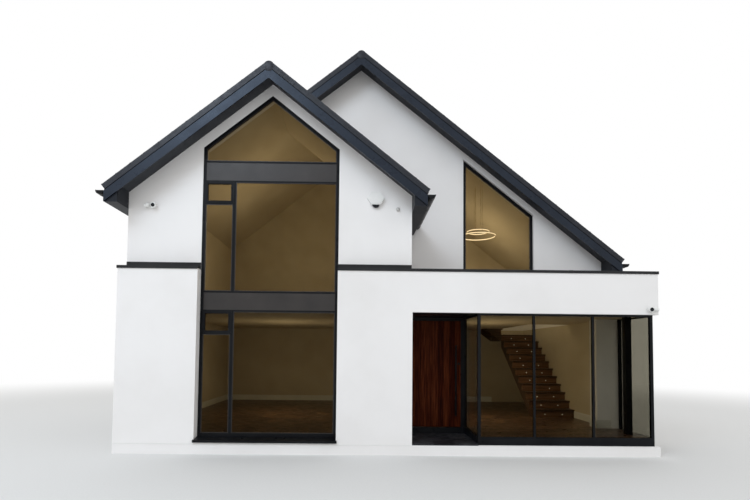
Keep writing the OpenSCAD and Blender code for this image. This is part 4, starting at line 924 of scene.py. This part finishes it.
for i in range(-80, 80):
    for j in range(-12, 13):
        x, y = i * BLOCK_W + 2 * BLOCK_L * j, i * BLOCK_W
        for place, middle in (
                (Matrix.Translation((x, y, 0)), (x + BLOCK_L / 2, y + BLOCK_W / 2, 0)),
                (Matrix.Translation((x + BLOCK_L + BLOCK_W, y + BLOCK_W - BLOCK_L, 0)) @ quarter,
                 (x + BLOCK_L + BLOCK_W / 2, y + BLOCK_W - BLOCK_L / 2, 0))):
            spot = turned @ Vector(middle)
            if abs(spot.x) < IN_X and (HALL_Y if spot.x > HALL_X else LIVING_Y) < spot.y < IN_Y:
                lay(bm, block, Matrix.Translation((0, 0, FLOOR_Z - SUNK)) @ turned @ place,
                    rng.random() * 0.5)
plank_bm = bmesh.new()
box(plank_bm, (0, 1), (JOINT, PLANK_W - JOINT), (0, PLANK_T))
plank = pattern(plank_bm)
for x0, x1, y0, rows in BORDERS:
    for row in range(rows):
        at = x0
        while at < x1:
            to = min(at + rng.uniform(0.7, 1.5), x1)
            lay(bm, plank, fit((at, y0 + row * PLANK_W, FLOOR_Z - 0.003), to - at - 0.001,
                               1, 1), rng.random() * 0.5)
            at = to
for mesh in (block, plank):
    bpy.data.meshes.remove(mesh)
piece("floor_blocks", bm, smoked_oak)

# The stair: dark stained oak treads between cut strings on closed risers of a redder
# oak, glued and wedged, with rounded nosings.
RISER_H, STEP_D, RISERS, TREAD_T, NOSING, FLIGHT_Y = 0.195, 0.27, 11, 0.045, 0.025, -0.55
for name, dark, pale, (rough, low, high), nodes in (
        ("stained_oak", (0.040, 0.021, 0.013), (0.105, 0.058, 0.034), (0.38, 0.30, 0.50),
         ("stair_treads", "stair_strings")),
        ("red_oak", (0.115, 0.052, 0.025), (0.240, 0.125, 0.064), (0.36, 0.28, 0.46),
         ("stair_risers",))):
    oak = finish(name, rough=rough)
    grain = noise(oak, 2.5, 8.0, (0.8, 14.0, 14.0))
    colour(oak, grain, (0.35, dark), (0.70, pale))
    roughen(oak, grain, low, high)
    relief(oak, (grain, 0.0004))
    dress(oak, *nodes)
bm = bmesh.new()
for i in range(1, RISERS + 1):
    y, z = FLIGHT_Y + (i - 1) * STEP_D - NOSING, FLOOR_Z + i * RISER_H - TREAD_T / 2
    rod(bm, (STAIR_L, y, z), (IN_X, y, z), TREAD_T / 2, 16)
for i in range(1, 3):
    x, z = STAIR_L - (i - 1) * STEP_D + NOSING, FLOOR_Z + (RISERS + i) * RISER_H - TREAD_T / 2
    rod(bm, (x, LANDING_Y, z), (x, IN_Y, z), TREAD_T / 2, 16)
piece("tread_nosings", bm, bpy.data.materials["stained_oak"], smooth=35)

# The step lights: two small warm discs of frosted plastic let into every riser of the
# lower flight.
LIGHTS_X, LIGHT_UP, GLOW_R = (4.085, 4.515), 0.075, 0.013
step_glow = finish("step_glow", Emission_Strength=0.55)
colour(step_glow, noise(step_glow, 150.0), (0.3, (0.95, 0.86, 0.62)),
       (0.7, (1.0, 0.95, 0.78)), socket="Emission Color")
bm = bmesh.new()
for i in range(RISERS):
    for x in LIGHTS_X:
        y, z = FLIGHT_Y + i * STEP_D, FLOOR_Z + i * RISER_H + LIGHT_UP
        rod(bm, (x, y + 0.001, z), (x, y - 0.003, z), GLOW_R, 16)
piece("step_lights", bm, step_glow)

# The light switch on the hall's right wall: a dark metal plate screwed to the lining,
# with a rocker in it.
bm = bmesh.new()
box(bm, (LINED_X - 0.007, LINED_X), (-1.553, -1.467), (1.372, 1.512), 0.002)
box(bm, (LINED_X - 0.010, LINED_X - 0.006), (-1.530, -1.490), (1.400, 1.484), 0.001)
piece("wall_switch", bm, bronze)

# The ring lamp: two brushed brass rings rolled from flat bar, hung on thin rods, with
# warm plastic strips let into their inner and outer faces.
LAMP_X, LAMP_Y, RING_HALF, RINGS = 2.383, -0.70, 0.008, ((0.42, 4.81), (0.265, 4.92))
STRIP_T, STRIP_Z = 0.0025, (0.006, 0.028)
brass = coat("brass", (0.62, 0.47, 0.25), (0.72, 0.56, 0.32), (6.0, 4.0, (1, 1, 30)),
             wear=(40.0, 4.0, 0.22, 0.36), Metallic=1.0, rough=0.28)
dress(brass, "ring_lamp")
lamp_glow = finish("lamp_glow", Emission_Strength=2.4)
colour(lamp_glow, noise(lamp_glow, 20.0), (0.3, (1.0, 0.74, 0.42)), (0.7, (1.0, 0.82, 0.54)),
       socket="Emission Color")
bm = bmesh.new()
for radius, z in RINGS:
    for inner in (radius - RING_HALF - STRIP_T, radius + RING_HALF):
        outer, (low, high) = inner + STRIP_T, STRIP_Z
        corners = [bm.verts.new((LAMP_X + r, LAMP_Y, z + h)) for r, h in (
            (inner, low), (outer, low), (outer, high), (inner, high))]
        edges = [bm.edges.new((corners[k], corners[(k + 1) % 4])) for k in range(4)]
        bmesh.ops.spin(bm, geom=corners + edges, cent=(LAMP_X, LAMP_Y, 0), axis=(0, 0, 1),
                       angle=2 * math.pi, steps=72, use_merge=True)
piece("lamp_strips", bm, lamp_glow, smooth=35)

# The entrance's soffit: boards with narrow joints, screwed up under the joists. They are given
# the frames' black as painted shade for the shadow in the porch's recess.
SOFFIT_Y, SOFFIT_W, SOFFIT_GAP, SOFFIT_Z = -3.55, 0.1333, 0.002, (2.668, 2.679)
bm = bmesh.new()
for k in range(9):
    y = SOFFIT_Y + k * SOFFIT_W
    box(bm, (PORCH_X0 + 0.001, PORCH_X1), (y + SOFFIT_GAP, y + SOFFIT_W - SOFFIT_GAP), SOFFIT_Z,
        0.002)
piece("porch_boards", bm, black_coat_and_porch_shade)

# The stop beads: white plastic trims bedded where the render ends, above the ground and
# round the foot of the fascia.
STOP_X, STOP_Y, STOP_IN, FOOT_Z = 5.127, 3.607, 0.009, (0.184, 0.194)
FASCIA_X, FASCIA_Y, FASCIA_IN, FASCIA_Z = 5.124, -3.604, 0.006, (2.680, 2.690)
plastic = coat("white_plastic", (0.74, 0.74, 0.72), (0.82, 0.82, 0.80), (3.0, 4.0),
               (500.0, 0.0002), rough=0.4, shine=0.5)
dress(plastic, "alarm_box")
bm = bmesh.new()
for x, y, z in (((-STOP_X, PORCH_X0), (-STOP_Y, STOP_IN - STOP_Y), FOOT_Z),
                ((-STOP_X, STOP_IN - STOP_X), (-STOP_Y, STOP_Y), FOOT_Z),
                ((STOP_X - STOP_IN, STOP_X), (PIER_FRONT, STOP_Y), FOOT_Z),
                ((-STOP_X, STOP_X), (STOP_Y - STOP_IN, STOP_Y), FOOT_Z),
                ((PORCH_X0, FASCIA_X), (FASCIA_Y, FASCIA_Y + FASCIA_IN), FASCIA_Z),
                ((FASCIA_X - FASCIA_IN, FASCIA_X), (FASCIA_Y, PIER_FRONT), FASCIA_Z)):
    box(bm, x, y, z, 0.001)
piece("stop_beads", bm, plastic)

# The alarm box's cover: a six-sided raised panel of moulded white plastic, clipped over
# the front of the box.
ALARM, COVER_HALF, COVER_UP = (-0.265, 4.895), 0.142, 0.105
bm = bmesh.new()
corners = [(COVER_HALF * math.cos(a), COVER_UP * (k % 3 > 0) * math.copysign(1, math.sin(a)))
           for k, a in enumerate(math.radians(60 * k) for k in range(6))]
upright_sheet(bm, [(ALARM[0] + x, ALARM[1] + z) for x, z in corners], -3.472, -3.477)
piece("alarm_cover", bm, plastic, smooth=35)

# The wall fittings: twin spots with one head to the front and one to the side, and the
# base of a small light sensor. White moulded plastic, screwed to the wall.
SENSOR, SENSOR_HALF, SENSOR_Y = (0.162, 4.693), 0.030, (-3.412, -3.400)
PLATE_R, SPOT_R, BALL_R, STEM_R, RIM_R = 0.060, 0.052, 0.047, 0.018, 0.036
SPOTS = [(Vector((-4.535, -3.4, 4.700)), -0.122, Vector((-0.95, -0.15, -0.28))),
         (Vector((4.932, -3.6, 2.778)), 0.094, Vector((0.95, -0.15, -0.28)))]


def ball(bm, at, radius, around, up):
    """A ball of so many facets around and up."""
    bmesh.ops.create_uvsphere(bm, u_segments=around, v_segments=up, radius=radius,
                              matrix=Matrix.Translation(at))


def side_head(front_head, aside):
    """The middle of a spot's round second head, aside of the first."""
    return front_head + Vector((aside, -0.060, 0.004))


bm = bmesh.new()
for head, aside, aim in SPOTS:
    plate, second = head + Vector((aside / 2, 0, 0)), side_head(head, aside)
    rod(bm, plate, plate + Vector((0, -0.028, 0)), PLATE_R, 32, 0.005)
    rod(bm, head + Vector((0, -0.022, 0)), head + Vector((0, -0.112, -0.006)), SPOT_R, 32,
        0.014)
    rod(bm, second + Vector((0, 0.04, 0)), second, STEM_R, 16)
    ball(bm, second, BALL_R, 28, 16)
    rod(bm, second, second + aim * 0.058, RIM_R, 28, 0.003)
box(bm, about(SENSOR[0], SENSOR_HALF), SENSOR_Y, about(SENSOR[1], SENSOR_HALF), 0.003)
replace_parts(piece("wall_fittings", bm, plastic, smooth=35), "wall_sensors")

# The light sensor's dome: a small ball of milky grey polycarbonate, half of it sunk in
# its square base.
grey_dome = coat("grey_dome", (0.46, 0.46, 0.44), (0.58, 0.58, 0.56), (60.0, 3.0),
                 at=(0.3, 0.7), rough=0.3, shine=0.4)
bm = bmesh.new()
ball(bm, (SENSOR[0], -3.422, SENSOR[1]), 0.038, 24, 14)
piece("sensor_dome", bm, grey_dome, smooth=35)

# The dark lenses: smoked polycarbonate pressed into their rims, a half-round strobe under
# the alarm box and a glass in each spot's head.
STROBE_Z, STROBE_R, LENS_R, SIDE_LENS_R = 4.790, 0.075, 0.037, 0.028
dark_lens = coat("dark_lens", (0.003, 0.0035, 0.006), (0.008, 0.009, 0.013), (60.0, 3.0),
                 at=(0.3, 0.7), rough=0.12, shine=0.2)
bm = bmesh.new()
rod(bm, (ALARM[0], -3.410, STROBE_Z), (ALARM[0], -3.464, STROBE_Z), STROBE_R, 36, 0.006)
for head, aside, aim in SPOTS:
    rod(bm, head + Vector((0, -0.105, -0.006)), head + Vector((0, -0.1155, -0.0065)), LENS_R,
        28, 0.002)
    second = side_head(head, aside)
    rod(bm, second + aim * 0.050, second + aim * 0.060, SIDE_LENS_R, 28, 0.002)
piece("fitting_lenses", bm, dark_lens, smooth=35)

# The flat roof's membrane: dark grey sheets welded with a lap every 0.88 m, turned up
# against the walls, with a domed outlet.
ROLL_W, ROLL_GAP, ROLL_T, ROLL_Z, LAP_T = 0.906, 0.876, 0.004, 3.081, 0.002
ROOF_X1, ROOF_Y0, UPSTAND_Z, OUTLET = 4.82, -3.3, (3.07, 3.225), (4.55, -3.02, 3.085)
membrane = coat("membrane", (0.060, 0.062, 0.065), (0.095, 0.097, 0.100), (1.2, 6.0),
                (1.6, 0.004), (180.0, 0.0005), rough=0.55, shine=0.35)
bm = bmesh.new()
for k in range(5):
    x, z = PORCH_X0 + k * ROLL_GAP, ROLL_Z + LAP_T * (k % 2)
    box(bm, (x, x + ROLL_W), (ROOF_Y0, GABLE_FACE), (z, z + ROLL_T), 0.001)
for x, y in (((PORCH_X0, ROOF_X1), (GABLE_FACE - ROLL_T, GABLE_FACE + LAP_T)),
             ((PORCH_X0, ROOF_X1), (ROOF_Y0 - LAP_T, ROOF_Y0 + ROLL_T)),
             ((PORCH_X0 - LAP_T, PORCH_X0 + ROLL_T), (ROOF_Y0, GABLE_FACE)),
             ((ROOF_X1 - ROLL_T, ROOF_X1 + LAP_T), (ROOF_Y0, GABLE_FACE))):
    box(bm, x, y, UPSTAND_Z, 0.001)
ball(bm, OUTLET, 0.07, 20, 10)
piece("roof_membrane", bm, membrane)

# The flashings: grey sheet lead in lapped lengths, dressed over the wing's tiles and up
# the main gable wall, and wedged into it.
LEAD_L, LEAD_GAP, LEAD_T = 0.45, 0.42, 0.0015
lead = coat("lead", (0.075, 0.080, 0.088), (0.130, 0.135, 0.142), (5.0, 6.0), (9.0, 0.004),
            (60.0, 0.0006), rough=0.5, Metallic=0.6)
bm = bmesh.new()
for k in range(8):
    u, over = 0.35 + k * LEAD_GAP, LEAD_T * (k % 2)
    box(bm, (u, u + LEAD_L), (GABLE_FACE - 0.13, GABLE_FACE - 0.002),
        (over - 0.002, over + 0.004), 0.001, place=wing_slope)
    box(bm, (u, u + LEAD_L), (GABLE_FACE - 0.008 - over, GABLE_FACE + 0.001), (-0.01, 0.11),
        0.001, place=wing_slope)
piece("lead_flashing", bm, lead)
